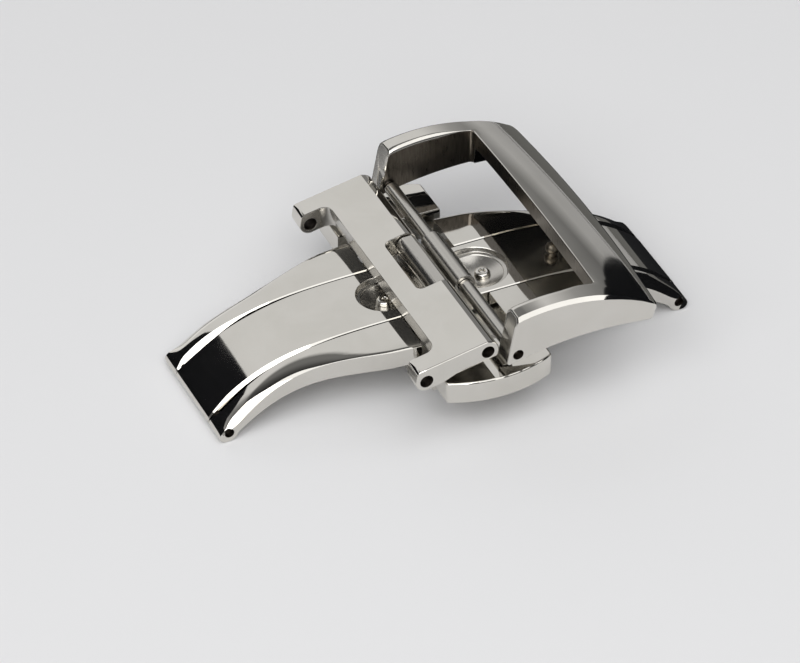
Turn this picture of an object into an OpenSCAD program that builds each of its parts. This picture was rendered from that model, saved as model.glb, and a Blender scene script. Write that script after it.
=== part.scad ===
// Double folding buckle for a leather watch strap, closed and standing on its two hinge ends.
// Millimetres. X runs along the strap, Y across it, Z up from the surface that it stands on.
// The middle of the length is X = 0 and the middle of the width is Y = 0.

/* [Strap] */

// Width of the strap end that passes through the buckle frame
strap_width = 18; // [17:0.25:19]

/* [Blades] */

// Half the closed length, from the middle to the face of a hinge end
half_length = 16.75; // [16:0.25:18]
// Height of the blades in the middle
blade_height = 4.5; // [4.3:0.1:5]
// Height of the blade tops at the hinge ends
end_height = 0.65; // [0.5:0.05:0.8]
// Thickness of the base blades in the middle
blade_thickness = 1.4; // [1.3:0.05:1.5]
// Thickness of the folding wings in the middle
wing_thickness = 1.2; // [1.1:0.05:1.3]
// Width of the folding wings
wing_width = 5.2; // [5:0.1:5.6]
// Gap between a wing and the blade beside it
groove = 0.1; // [0.08:0.01:0.15]
// Width over the base blades at the hinge ends
blade_end_width = 9.1; // [8.6:0.1:9.6]
// Width over the base blades at their inner ends
blade_inner_width = 11.8; // [11.2:0.1:12]
// Distance of the blades' inner ends from the middle
blade_inner_x = 3.1; // [2.9:0.1:3.3]
// Depth of the waist in each blade's outer edge
blade_waist = 0.75; // [0:0.05:0.8]
// Exponent of the blades' upper curve
top_bend = 4.6; // [4:0.2:5]
// Exponent of the blades' lower curve
under_bend = 4.2; // [3.8:0.2:4.4]

/* [Hinges] */

// Outer radius of a hinge end
barrel_r = 0.68; // [0.64:0.02:0.74]
// Radius of the cross pin in a hinge end
hinge_pin_r = 0.32; // [0.26:0.02:0.36]
// Depth of a hinge pin's end below the blade's side face
pin_recess = 0.3; // [0.1:0.1:0.5]
// Radial play of a part that turns on its pin
turn_play = 0.04; // [0.02:0.01:0.06]
// Radial gap of a pin that is held fast in its hole
seat_play = 0.01; // [0.005:0.005:0.02]

/* [Bridge] */

// Place of the bridge pin along the strap
bridge_pin_x = -0.33; // [-0.45:0.02:-0.25]
// Height of the bridge pin over the blade tops
bridge_pin_rise = 1.28; // [1.2:0.02:1.36]
// Radius of the bridge pin
bridge_pin_r = 0.42; // [0.36:0.02:0.44]
// Slope of the bridge plate in degrees
bridge_tilt = 10.75; // [9.5:0.25:12]
// Height of the plate's upper face over its pin
bridge_top = 0.82; // [0.8:0.01:0.86]
// Depth of the plate's lower face under its pin
bridge_under = 0.6; // [0.54:0.02:0.62]
// Radius of the bridge's rounded edge round the pin
bridge_nose_r = 0.78; // [0.74:0.02:0.8]
// Width of the plate from its pin to the edge between the arms
bridge_plate_depth = 2.92; // [2.7:0.05:3.1]
// Distance from the bridge pin to the strap holes in the arms
arm_hole_distance = 4.4; // [4.2:0.05:4.7]
// Radius of the strap holes in the arms
arm_hole_r = 0.44; // [0.38:0.02:0.46]
// Radius of the arms' rounded ends
arm_end_r = 0.73; // [0.7:0.01:0.78]
// Width of an arm
arm_width = 1.44; // [1.3:0.05:1.6]
// Radius in the corners between the arms and the plate
arm_fillet_r = 0.7; // [0.4:0.1:1]
// Depth of the slot in the plate for the wing's knuckle, from the pin
slot_depth = 1.5; // [1.4:0.05:1.7]

/* [Buckle frame] */

// Place of the spring bar along the strap
bar_x = 1.42; // [1.36:0.02:1.6]
// Height of the spring bar over the blade tops
bar_rise = 1.04; // [0.96:0.02:1.12]
// Width of a side arm of the frame
frame_arm = 1.5; // [1.3:0.05:1.7]
// Distance from the spring bar to the outer bar's inner edge
outer_bar_start = 6.03; // [5.7:0.05:6.2]
// Distance from the spring bar to the frame's outer edge
frame_reach = 10.38; // [10:0.1:10.8]
// Depth of the outer bar under its upper face
outer_bar_depth = 1.25; // [1.1:0.05:1.4]
// Radius of the frame's upper curve, seen from the side
frame_top_r = 12.7; // [12:0.1:13.5]
// Radius of the frame's lower curve, seen from the side
frame_under_r = 25; // [23:0.5:28]
// Height of the frame's highest line over the spring bar
frame_rise = 3.48; // [3.3:0.02:3.6]
// Radius of the frame's crown, seen from the end
crown_r = 130; // [110:5:160]
// Radius of the outline along the frame's outer edge
outer_edge_r = 130; // [100:5:180]
// Radius of the frame's outer corners
frame_corner_r = 0.4; // [0.2:0.1:0.8]

/* [Spring bar] */

// Radius of the spring bar's tube
tube_r = 0.48; // [0.44:0.01:0.5]
// Wall of the tube
tube_wall = 0.12; // [0.1:0.01:0.14]
// Radius of the spring bar's tips
tip_r = 0.32; // [0.28:0.01:0.33]
// Length of a tip that stands out of the tube
tip_reach = 1.35; // [1.2:0.05:1.5]
// Radial play of the tips in the frame's holes
tip_play = 0.05; // [0.03:0.01:0.08]

/* [Catch] */

// Place of the left dish along the strap
left_dish_x = -3.25; // [-3.4:0.05:-3.2]
// Radius of the left dish
left_dish_r = 1.75; // [1.6:0.05:1.8]
// Place of the right dish along the strap
right_dish_x = 3.45; // [3.4:0.05:3.6]
// Radius of the right dish
right_dish_r = 2.15; // [2:0.05:2.2]
// Depth of the dishes
dish_depth = 0.75; // [0.6:0.05:0.8]
// Place of the left catch stud along the strap
left_stud_x = -3.1; // [-3.2:0.05:-3]
// Place of the right catch stud along the strap
right_stud_x = 3.9; // [3.8:0.05:4]
// Radius of a catch stud's shank
stud_r = 0.4; // [0.34:0.02:0.42]
// Radius of a catch stud's head
stud_head_r = 0.53; // [0.5:0.01:0.6]

/* [Pushers] */

// Length of a pusher along the strap
pusher_length = 7.4; // [7:0.1:7.6]
// Height of a pusher
pusher_height = 1.6; // [1.5:0.05:1.7]
// Radius of a pusher's outer face
pusher_face_r = 8.5; // [8.2:0.1:10]
// Depth of a pusher from its inner face to the ends of its outer face
pusher_depth = 3.05; // [2.9:0.05:3.2]
// Distance that a pusher can be pressed in
pusher_travel = 0.6; // [0.4:0.05:0.65]
// Number of turns of a pusher spring
spring_turns = 3; // [2:1:3]

/* [Hidden] */

steel = [0.80, 0.79, 0.77];
satin = [0.70, 0.69, 0.67];
dark_steel = [0.45, 0.44, 0.43];

round_steps = 96;
curve_steps = 24;
cut_margin = 0.5;
crown_steps = 720;

half_wing = wing_width / 2;
rail_inner_y = half_wing + groove;
waist_start_x = 5;
waist_shape = 1.5;
waist_steps = 24;
pin_x = half_length - barrel_r;
pin_z = barrel_r;
blade_under = blade_height - blade_thickness;
wing_under = blade_height - wing_thickness;
wing_floor_gap = 0.04;
wing_bore_r = hinge_pin_r + turn_play;

bar_z = blade_height + bar_rise;
bridge_z = blade_height + bridge_pin_rise;
pin_spacing = norm([bar_x - bridge_pin_x, bar_rise - bridge_pin_rise]);

frame_half = strap_width / 2 + frame_arm;
frame_tip_gap = 0.2;
frame_crest_x = 2.7;
tip_plug = 1.6;
plug_step = 0.2;
bridge_side_step = 0.76;
bridge_half = frame_half - bridge_side_step;
arm_inner_y = bridge_half - arm_width;
knuckle_gap = 0.1;
left_knuckle_r = 0.74;
right_knuckle_r = 0.74;
slot_fillet_r = 0.45;
arm_hole_z = -0.12;

housing_middle_x = (left_stud_x + right_stud_x) / 2;
housing_half_x = 5.05;
housing_half_y = 3.7;
shoulder_half_x = 4.05;
shoulder_half_y = 5.2;
housing_bottom = blade_under - 1.3;
housing_top = blade_under - 0.03;
cavity_bottom = housing_bottom + 0.35;
cavity_top = housing_top - 0.25;
slide_gap = 0.05;
slide_bottom = cavity_bottom + slide_gap;
slide_top = cavity_top - slide_gap;
slide_half_x = 1.15;
slide_window_x = 0.75;
slide_lip = 0.5;
window_back = stud_r + pusher_travel + 0.25;
tongue_width = 1.2;
guide_r = 0.26;
guide_z = (cavity_bottom + cavity_top) / 2;
guide_end_y = 2.2;
spring_r = 0.44;
wire_r = 0.055;

pusher_top = blade_height - 0.18;
pusher_ends_y = frame_half - 0.55;
pusher_back_y = pusher_ends_y - pusher_depth;

cover_inset = 0.2;
screw_head_r = 0.5;
screw_head_depth = 0.18;
screw_shank_r = 0.26;
screw_length = 1.0;
screw_end_gap = 0.2;

strap_stud_x = 8.7;
strap_stud_y = -0.5;
strap_stud_ball_r = 0.45;
strap_stud_neck_r = 0.3;

function blade_top_z(x) = blade_height - (blade_height - end_height) * pow(abs(x) / half_length, top_bend);

function under_z(x, middle) = middle * (1 - pow(abs(x) / pin_x, under_bend));

function arc_sag(half, r) = r - sqrt(r * r - half * half);

// A flat outline drawn in X and Z, given a width across the strap from y0 to y1.
module across(y0, y1) {
    translate([0, y1, 0])
        rotate([90, 0, 0])
            linear_extrude(height = y1 - y0)
                children();
}

// A round bar or hole along Y.
module cross_bar(x, z, r, y0, y1) {
    translate([x, y0, z])
        rotate([-90, 0, 0])
            cylinder(r = r, h = y1 - y0, $fn = round_steps);
}

module both_sides() {
    children();
    mirror([0, 1, 0])
        children();
}

// A blade or wing on the +X side, full width, from its inner end to its round hinge end.
module blade_body(inner_x, middle_under, end_r, lift, half) {
    top_end = pin_x + barrel_r / 2;
    under_end = pin_x - barrel_r * 0.6;
    top = [for (i = [0 : curve_steps])
        let (x = inner_x + (top_end - inner_x) * i / curve_steps)
        [x, blade_top_z(x)]];
    under = [for (i = [curve_steps : -1 : 0])
        let (x = inner_x + (under_end - inner_x) * i / curve_steps)
        [x, lift + under_z(x, middle_under - lift)]];
    union() {
        across(-half, half)
            polygon(concat(top, under));
        cross_bar(pin_x, pin_z, end_r, -half, half);
    }
}

// Y of a base blade's outer edge. A straight taper runs from the inner end, and a waist is drawn into it.
function blade_edge_y(x) =
    let (
        widening = (blade_inner_width - blade_end_width) / 2 / (half_length - blade_inner_x),
        straight = blade_end_width / 2 + (half_length - x) * widening,
        turn = 180 * (x - waist_start_x) / (half_length - waist_start_x)
    )
    straight - blade_waist * pow(max(sin(turn), 0), waist_shape);

// Plan of one base blade, widest at its inner end and drawn in at its waist.
module blade_plan() {
    edge = [for (i = [0 : waist_steps])
        let (x = half_length + (waist_start_x - half_length) * i / waist_steps)
        [x, blade_edge_y(x)]];
    polygon(concat(
        [[blade_inner_x, rail_inner_y], [half_length, rail_inner_y]],
        edge,
        [[blade_inner_x, blade_inner_width / 2]]
    ));
}

module base_blades() {
    difference() {
        intersection() {
            blade_body(blade_inner_x, blade_under, barrel_r, 0, blade_inner_width / 2);
            both_sides()
                linear_extrude(height = blade_height)
                    blade_plan();
        }
        cross_bar(pin_x, pin_z, hinge_pin_r + seat_play, -blade_inner_width, blade_inner_width);
    }
}

module base_blade_right() {
    color(steel)
        base_blades();
}

module base_blade_left() {
    color(steel)
        mirror([1, 0, 0])
            base_blades();
}

module hinge_pin() {
    half = blade_end_width / 2 - pin_recess;
    cross_bar(pin_x, pin_z, hinge_pin_r, -half, half);
}

module hinge_pin_right() {
    color(satin)
        hinge_pin();
}

module hinge_pin_left() {
    color(satin)
        mirror([1, 0, 0])
            hinge_pin();
}

// The hollow under a slide, open at the side that its pusher is on.
module slide_way(stud_x, side) {
    reach = slide_lip + stud_r + slide_gap + pusher_travel + slide_gap;
    half = slide_half_x + slide_gap;
    translate([stud_x - half, side > 0 ? -reach : -housing_half_y + cut_margin, cavity_bottom])
        cube([2 * half, housing_half_y - cut_margin + reach, cavity_top - cavity_bottom]);
    translate([
        tongue_x(stud_x) - tongue_width / 2 - slide_gap,
        side > 0 ? 0 : -shoulder_half_y - cut_margin,
        cavity_bottom
    ])
        cube([tongue_width + 2 * slide_gap, shoulder_half_y + cut_margin, cavity_top - cavity_bottom]);
}

// The tongue sits on the stud's inner side, where it meets the pusher.
function tongue_x(stud_x) =
    stud_x + sign(housing_middle_x - stud_x) * (slide_half_x - tongue_width / 2);

module base_housing() {
    color(satin)
        difference() {
            union() {
                translate([housing_middle_x - housing_half_x, -housing_half_y, housing_bottom])
                    cube([2 * housing_half_x, 2 * housing_half_y, housing_top - housing_bottom]);
                translate([housing_middle_x - shoulder_half_x, -shoulder_half_y, housing_bottom])
                    cube([2 * shoulder_half_x, 2 * shoulder_half_y, housing_top - housing_bottom]);
            }
            slide_way(left_stud_x, -1);
            slide_way(right_stud_x, 1);
            cover_seat();
            stud_slot(left_stud_x, -1);
            stud_slot(right_stud_x, 1);
            guide_holes();
            screw_places()
                cylinder(r = screw_shank_r + seat_play, h = screw_length + cut_margin, $fn = round_steps);
        }
}

// The catch studs leave the housing on an arc, so each slot is longer towards its hinge.
module stud_slot(stud_x, side) {
    play = 0.12;
    arc_room = 0.3;
    width = 2 * (stud_r + play);
    translate([stud_x - width / 2 - (side < 0 ? arc_room : 0), -width / 2, cavity_top - slide_gap])
        cube([width + arc_room, width, housing_top - cavity_top + cut_margin]);
}

module guide_holes() {
    guide_room = 0.2;
    both_sides()
        cross_bar(housing_middle_x, guide_z, guide_r + turn_play, guide_end_y - pusher_travel - guide_room,
            shoulder_half_y + cut_margin);
}

module cover_plan() {
    translate([housing_middle_x - housing_half_x + cover_inset, -housing_half_y + cover_inset])
        square([2 * (housing_half_x - cover_inset), 2 * (housing_half_y - cover_inset)]);
}

module cover_seat() {
    translate([0, 0, housing_bottom - cut_margin])
        linear_extrude(height = cavity_bottom - housing_bottom + cut_margin)
            cover_plan();
}

module screw_places() {
    offset_x = 1.45;
    for (side = [-1, 1])
        translate([housing_middle_x + side * offset_x, 0, cavity_bottom])
            children();
}

module base_cover() {
    color(satin)
        difference() {
            translate([0, 0, housing_bottom])
                linear_extrude(height = cavity_bottom - housing_bottom)
                    translate([housing_middle_x, 0])
                        square([
                            2 * (housing_half_x - cover_inset - slide_gap),
                            2 * (housing_half_y - cover_inset - slide_gap)
                        ], center = true);
            screw_places() {
                translate([0, 0, housing_bottom - cavity_bottom - cut_margin])
                    cylinder(
            r = screw_head_r + slide_gap,
            h = screw_head_depth + cut_margin,
            $fn = round_steps
        );
                translate([0, 0, housing_bottom - cavity_bottom - cut_margin])
                    cylinder(
                        r = screw_shank_r + slide_gap,
                        h = cavity_bottom - housing_bottom + 2 * cut_margin,
                        $fn = round_steps
                    );
            }
        }
}

module cover_screws() {
    slot_width = 0.14;
    slot_cut = 0.1;
    color(dark_steel)
        screw_places()
            difference() {
                union() {
                    translate([0, 0, housing_bottom - cavity_bottom])
                        cylinder(r = screw_head_r, h = screw_head_depth, $fn = round_steps);
                    translate([0, 0, housing_bottom - cavity_bottom])
                        cylinder(
                            r = screw_shank_r,
                            h = cavity_bottom - housing_bottom + screw_length - screw_end_gap,
                            $fn = round_steps
                        );
                }
                translate([
                    -slot_width / 2,
                    -screw_head_r - cut_margin,
                    housing_bottom - cavity_bottom - cut_margin
                ])
                    cube([slot_width, 2 * (screw_head_r + cut_margin), slot_cut + cut_margin]);
            }
}

// A shallow round dish with a ledge below its rim, cut down from the wing's upper face.
module dish(x, r) {
    rim_depth = dish_depth * 0.45;
    ledge = 0.14 * r;
    well_r = 0.42 * r;
    draft = 0.08;
    ledge_fall = 0.05;
    well_slope = 0.15;
    translate([x, 0, blade_height])
        rotate_extrude($fn = round_steps)
            polygon([
                [0, cut_margin],
                [r, cut_margin],
                [r, 0],
                [r - draft, -rim_depth],
                [r - draft - ledge, -rim_depth - ledge_fall],
                [well_r + well_slope, -dish_depth],
                [0, -dish_depth]
            ]);
}

// Neck and knuckle that carry a cross pin over the wing's inner end.
module knuckle(x, z, r, neck_x0, neck_x1) {
    cross_bar(x, z, r, -half_wing, half_wing);
    translate([neck_x0, -half_wing, wing_under])
        cube([neck_x1 - neck_x0, wing_width, z - wing_under]);
}

module wing_panel(inner_x) {
    blade_body(inner_x, wing_under, barrel_r - wing_floor_gap, wing_floor_gap, half_wing);
}

module left_wing() {
    inner_x = 0.3;
    color(steel)
        difference() {
            union() {
                mirror([1, 0, 0])
                    wing_panel(-inner_x);
                knuckle(bridge_pin_x, bridge_z, left_knuckle_r, bridge_pin_x - left_knuckle_r, inner_x);
            }
            dish(left_dish_x, left_dish_r);
            cross_bar(bridge_pin_x, bridge_z, bridge_pin_r + turn_play, -wing_width, wing_width);
            mirror([1, 0, 0])
                cross_bar(pin_x, pin_z, wing_bore_r, -wing_width, wing_width);
            stud_bore(left_stud_x);
        }
}

module right_wing() {
    inner_x = 0.88;
    neck = 1.0;
    color(steel)
        difference() {
            union() {
                wing_panel(inner_x);
                knuckle(bar_x, bar_z, right_knuckle_r, inner_x, inner_x + neck);
            }
            dish(right_dish_x, right_dish_r);
            cross_bar(bar_x, bar_z, tube_r + turn_play, -wing_width, wing_width);
            cross_bar(pin_x, pin_z, wing_bore_r, -wing_width, wing_width);
            stud_bore(right_stud_x);
            translate([strap_stud_x, strap_stud_y, 0])
                cylinder(r = strap_stud_neck_r + seat_play, h = 2 * blade_height, $fn = round_steps);
        }
}

module stud_bore(x) {
    translate([x, 0, 0])
        cylinder(r = stud_r + seat_play, h = blade_height, $fn = round_steps);
}

// A headed stud through the dish. Its shank goes down into the housing to the slide.
module catch_stud(x) {
    head_height = 0.32;
    dimple_r = 0.2;
    dimple_depth = 0.14;
    head_z = blade_height - dish_depth;
    color(satin)
        translate([x, 0, 0])
            difference() {
                union() {
                    translate([0, 0, slide_bottom])
                        cylinder(r = stud_r, h = head_z - slide_bottom, $fn = round_steps);
                    translate([0, 0, head_z])
                        cylinder(r = stud_head_r, h = head_height, $fn = round_steps);
                }
                translate([0, 0, head_z + head_height - dimple_depth])
                    cylinder(r = dimple_r, h = cut_margin, $fn = round_steps);
            }
}

module left_catch_stud() {
    catch_stud(left_stud_x);
}

module right_catch_stud() {
    catch_stud(right_stud_x);
}

// The ball goes into a hole of the strap under the outer bar of the frame.
module strap_stud() {
    top = blade_top_z(strap_stud_x);
    neck_rise = 0.2;
    color(steel)
        translate([strap_stud_x, strap_stud_y, 0]) {
            translate([0, 0, top - wing_thickness])
                cylinder(r = strap_stud_neck_r, h = wing_thickness + neck_rise, $fn = round_steps);
            translate([0, 0, top + neck_rise + strap_stud_ball_r / 2])
                sphere(r = strap_stud_ball_r, $fn = round_steps);
        }
}

// The bridge in full width, built round its pin before it is tilted.
module bridge_body() {
    arm_under = arm_hole_z - arm_end_r + 0.02;
    chamfer = 0.3;
    nose_reach = bridge_nose_r + cut_margin;
    difference() {
        union() {
            cross_bar(0, 0, bridge_nose_r, -bridge_half, bridge_half);
            cross_bar(-arm_hole_distance, arm_hole_z, arm_end_r, -bridge_half, bridge_half);
            across(-bridge_half, bridge_half)
                polygon([
                    [-arm_hole_distance - arm_end_r * 0.9, arm_hole_z + arm_end_r * 0.3],
                    [-arm_hole_distance - arm_end_r + chamfer, bridge_top - 0.08],
                    [-arm_hole_distance - arm_end_r + chamfer + 0.14, bridge_top],
                    [0.1, bridge_top],
                    [0.45, bridge_nose_r - 0.25],
                    [0.3, -bridge_under],
                    [-bridge_plate_depth + 0.55, -bridge_under],
                    [-bridge_plate_depth - 0.4, arm_under],
                    [-arm_hole_distance, arm_under]
                ]);
        }
        translate([-nose_reach, -bridge_half - cut_margin, -bridge_under - cut_margin])
            cube([2 * nose_reach, 2 * (bridge_half + cut_margin), cut_margin]);
        cross_bar(-arm_hole_distance, arm_hole_z, arm_hole_r, -bridge_half - cut_margin,
            bridge_half + cut_margin);
        cross_bar(0, 0, bridge_pin_r + seat_play, -bridge_half - cut_margin, bridge_half + cut_margin);
    }
}

// Plan of the bridge: a plate with an arm at each side and a slot for the wing's knuckle.
module bridge_plan() {
    left = -arm_hole_distance - arm_end_r - cut_margin;
    right = bridge_nose_r + cut_margin;
    plate_left = -bridge_plate_depth;
    slot_half = half_wing + knuckle_gap;
    difference() {
        translate([left, -bridge_half])
            square([right - left, 2 * bridge_half]);
        round_notch(left - cut_margin, plate_left, arm_inner_y, arm_fillet_r, 1);
        round_notch(-slot_depth, right + cut_margin, slot_half, slot_fillet_r, -1);
    }
}

// A notch from x0 to x1, with rounded corners at x1 for side 1 and at x0 for side -1.
module round_notch(x0, x1, half, r, side) {
    inner_x = side > 0 ? x1 - r : x0 + r;
    translate([side > 0 ? x0 : inner_x, -half])
        square([side > 0 ? inner_x - x0 : x1 - inner_x, 2 * half]);
    translate([x0, -half + r])
        square([x1 - x0, 2 * (half - r)]);
    for (y = [-1, 1])
        translate([inner_x, y * (half - r)])
            circle(r = r, $fn = round_steps);
}

module bridge_plate() {
    color(steel)
        translate([bridge_pin_x, 0, bridge_z])
            rotate([0, -bridge_tilt, 0])
                intersection() {
                    bridge_body();
                    translate([0, 0, -blade_height])
                        linear_extrude(height = 2 * blade_height)
                            bridge_plan();
                }
}

module bridge_pin() {
    recess = 0.8;
    color(satin)
        cross_bar(bridge_pin_x, bridge_z, bridge_pin_r, -bridge_half + recess, bridge_half - recess);
}

// The frame's side outline at the middle of its width, drawn round the spring bar.
// The points down the arm's end are lifted by what the crown takes off at the arm's side face.
module frame_outline() {
    under_crest_x = 5.3;
    under_rise = 0.48;
    drop = arc_sag(frame_half, crown_r);
    above = frame_rise + cut_margin;
    intersection() {
        difference() {
            translate([frame_crest_x, frame_rise - frame_top_r])
                circle(r = frame_top_r, $fn = 4 * round_steps);
            translate([under_crest_x, under_rise - frame_under_r])
                circle(r = frame_under_r, $fn = 4 * round_steps);
        }
        polygon([
            [-0.57, drop - 1],
            [-0.89, drop - 0.36],
            [-0.76, drop + 0.53],
            [-0.42, drop + 1.77],
            [-0.2, drop + 2.4],
            [0, drop + 2.75],
            [0.3, above],
            [frame_reach, above],
            [frame_reach, drop + 0.1],
            [frame_reach - 0.4, drop - 1]
        ]);
    }
}

// Turns the children's outline about an axis far below, which crowns it across the strap.
module crowned(outline_r, half) {
    turn = 2 * asin((half + cut_margin) / outline_r);
    translate([0, 0, -outline_r])
        rotate([0, 90, 0])
            rotate([0, 0, 180 - turn / 2])
                rotate_extrude(angle = turn, $fn = crown_steps)
                    translate([outline_r, 0])
                        mirror([1, -1, 0])
                            children();
}

// Plan of the frame, with a slightly bowed outer edge and rounded outer corners.
module frame_plan() {
    left = -1.2;
    corner_x = frame_reach - arc_sag(frame_half, outer_edge_r) - frame_corner_r;
    intersection() {
        translate([frame_reach - outer_edge_r, 0])
            circle(r = outer_edge_r, $fn = 12 * round_steps);
        union() {
            translate([left, -frame_half])
                square([corner_x - left, 2 * frame_half]);
            translate([left, -frame_half + frame_corner_r])
                square([frame_reach - left, 2 * (frame_half - frame_corner_r)]);
            for (y = [-1, 1])
                translate([corner_x, y * (frame_half - frame_corner_r)])
                    circle(r = frame_corner_r, $fn = round_steps);
        }
    }
}

// Room in the frame's arms for the bridge's nose while either of them turns.
module nose_room() {
    nose_gap = 0.12;
    room_r = bridge_nose_r + nose_gap;
    turn = 38;
    nose_angle = 180 - atan2(bridge_pin_rise - bar_rise, bar_x - bridge_pin_x);
    stop_angle = nose_angle - turn;
    far = pin_spacing + room_r;
    difference() {
        intersection() {
            circle(r = far, $fn = round_steps);
            polygon([
                [0, 0],
                [2 * far * cos(stop_angle), 2 * far * sin(stop_angle)],
                [-2 * far, 2 * far * sin(stop_angle)],
                [-2 * far, -far]
            ]);
        }
        circle(r = pin_spacing - room_r, $fn = round_steps);
    }
    translate([pin_spacing * cos(stop_angle), pin_spacing * sin(stop_angle)])
        circle(r = room_r, $fn = round_steps);
}

module buckle_frame() {
    inner = strap_width / 2;
    side_gap = 0.1;
    room_half = bridge_half + side_gap;
    behind = 2;
    color(steel)
        translate([bar_x, 0, bar_z])
            difference() {
                intersection() {
                    crowned(crown_r, frame_half)
                        frame_outline();
                    translate([0, 0, -blade_height])
                        linear_extrude(height = 2 * blade_height)
                            frame_plan();
                }
                translate([-behind, -inner, -blade_height])
                    cube([behind + outer_bar_start, strap_width, 2 * blade_height]);
                across(-inner, inner)
                    under_bar_room();
                across(-room_half, room_half)
                    nose_room();
                cross_bar(0, 0, tip_r + tip_play, -frame_half - cut_margin, frame_half + cut_margin);
            }
}

// What is cut away under the outer bar, down from a curve that follows its upper face.
module under_bar_room() {
    rim = 0.35;
    start = outer_bar_start - cut_margin;
    intersection() {
        translate([frame_crest_x, frame_rise - frame_top_r - outer_bar_depth])
            circle(r = frame_top_r, $fn = 4 * round_steps);
        translate([start, -blade_height])
            square([frame_reach - rim - start, 2 * blade_height]);
    }
}

module spring_bar_tube() {
    half = strap_width / 2 - frame_tip_gap;
    color(steel)
        difference() {
            cross_bar(bar_x, bar_z, tube_r, -half, half);
            cross_bar(bar_x, bar_z, tube_r - tube_wall, -half - cut_margin, half + cut_margin);
        }
}

// A tip with the part of it that slides in the tube.
module tip(side) {
    half = strap_width / 2 - frame_tip_gap;
    plug_play = 0.01;
    mirror([0, side > 0 ? 0 : 1, 0]) {
        cross_bar(bar_x, bar_z, tube_r - tube_wall - plug_play, half - tip_plug, half - plug_step);
        cross_bar(bar_x, bar_z, tip_r, half - tip_plug, half + tip_reach);
    }
}

module spring_bar_tip_near() {
    color(satin)
        tip(-1);
}

module spring_bar_tip_far() {
    color(satin)
        tip(1);
}

// One unbroken wire wound round the Z axis, from z = 0 to z = length.
module coil(r, wire, turns, length) {
    sides = 6;
    rings_a_turn = 8;
    rings = turns * rings_a_turn;
    points = [for (i = [0 : rings], k = [0 : sides - 1])
        let (
            a = 360 * i / rings_a_turn,
            b = 360 * k / sides,
            reach = r + wire * cos(b)
        )
        [reach * cos(a), reach * sin(a), wire + (length - 2 * wire) * i / rings + wire * sin(b)]];
    skin = [for (i = [0 : rings - 1], k = [0 : sides - 1], half = [0, 1])
        let (
            p = i * sides + k,
            q = i * sides + (k + 1) % sides
        )
        half == 0 ? [p, q, q + sides] : [p, q + sides, p + sides]];
    first_cap = [for (k = [1 : sides - 2]) [0, k + 1, k]];
    last = rings * sides;
    last_cap = [for (k = [1 : sides - 2]) [last, last + k, last + k + 1]];
    echo(least_gap = (length - 2 * wire) / turns - 2 * wire);
    polyhedron(points = points, faces = concat(skin, first_cap, last_cap));
}

// The spring between the two tips, shown as a few open turns.
module spring_bar_spring() {
    half = strap_width / 2 - frame_tip_gap - tip_plug;
    bar_spring_turns = 20;
    bar_wire_r = 0.06;
    wire_play = 0.04;
    color(dark_steel)
        translate([bar_x, half, bar_z])
            rotate([90, 0, 0])
                coil(tube_r - tube_wall - bar_wire_r - wire_play, bar_wire_r, bar_spring_turns, 2 * half);
}

// The pusher on the near side, with its guide pin.
module pusher() {
    middle_y = pusher_ends_y + arc_sag(pusher_length / 2, pusher_face_r);
    foot_depth = 0.9;
    color(steel)
        translate([housing_middle_x, 0, 0]) {
            translate([0, 0, pusher_top - pusher_height])
                linear_extrude(height = pusher_height)
                    pusher_plan(middle_y, pusher_back_y);
            translate([0, 0, slide_bottom])
                linear_extrude(height = pusher_top - pusher_height - slide_bottom)
                    intersection() {
                        pusher_plan(middle_y, pusher_back_y);
                        translate([-pusher_length / 2, -pusher_back_y - foot_depth])
                            square([pusher_length, foot_depth]);
                    }
            cross_bar(0, guide_z, guide_r, -pusher_back_y, -guide_end_y);
        }
}

module pusher_plan(middle_y, back_y) {
    intersection() {
        translate([0, pusher_face_r - middle_y])
            circle(r = pusher_face_r, $fn = 4 * round_steps);
        translate([-pusher_length / 2, -middle_y])
            square([pusher_length, middle_y - back_y]);
    }
}

module pusher_near() {
    pusher();
}

module pusher_far() {
    mirror([0, 1, 0])
        pusher();
}

// The slide of the near pusher: a tongue and a window round the catch stud.
module slide(stud_x) {
    lip_y = stud_r + slide_gap;
    color(satin)
        translate([0, 0, slide_bottom])
            difference() {
                union() {
                    translate([tongue_x(stud_x) - tongue_width / 2, -pusher_back_y])
                        cube([tongue_width, pusher_back_y, slide_top - slide_bottom]);
                    translate([stud_x - slide_half_x, -window_back - slide_lip])
                        cube([
                            2 * slide_half_x,
                            window_back + lip_y + 2 * slide_lip,
                            slide_top - slide_bottom
                        ]);
                }
                translate([stud_x - slide_window_x, -window_back, -cut_margin])
                    cube([
                        2 * slide_window_x,
                        window_back + lip_y,
                        slide_top - slide_bottom + 2 * cut_margin
                    ]);
            }
}

module latch_slide_near() {
    slide(left_stud_x);
}

module latch_slide_far() {
    mirror([0, 1, 0])
        slide(right_stud_x);
}

module pusher_spring() {
    color(dark_steel)
        translate([housing_middle_x, -shoulder_half_y, guide_z])
            rotate([90, 0, 0])
                coil(spring_r, wire_r, spring_turns, pusher_back_y - shoulder_half_y);
}

module pusher_spring_near() {
    pusher_spring();
}

module pusher_spring_far() {
    mirror([0, 1, 0])
        pusher_spring();
}

base_housing();
base_blade_left();
base_blade_right();
base_cover();
cover_screws();
hinge_pin_left();
hinge_pin_right();
left_wing();
right_wing();
left_catch_stud();
right_catch_stud();
strap_stud();
bridge_plate();
bridge_pin();
buckle_frame();
spring_bar_tube();
spring_bar_tip_near();
spring_bar_tip_far();
spring_bar_spring();
pusher_near();
pusher_far();
latch_slide_near();
latch_slide_far();
pusher_spring_near();
pusher_spring_far();
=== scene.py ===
import math

import bmesh
import bpy
from mathutils import Matrix, Vector


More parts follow.
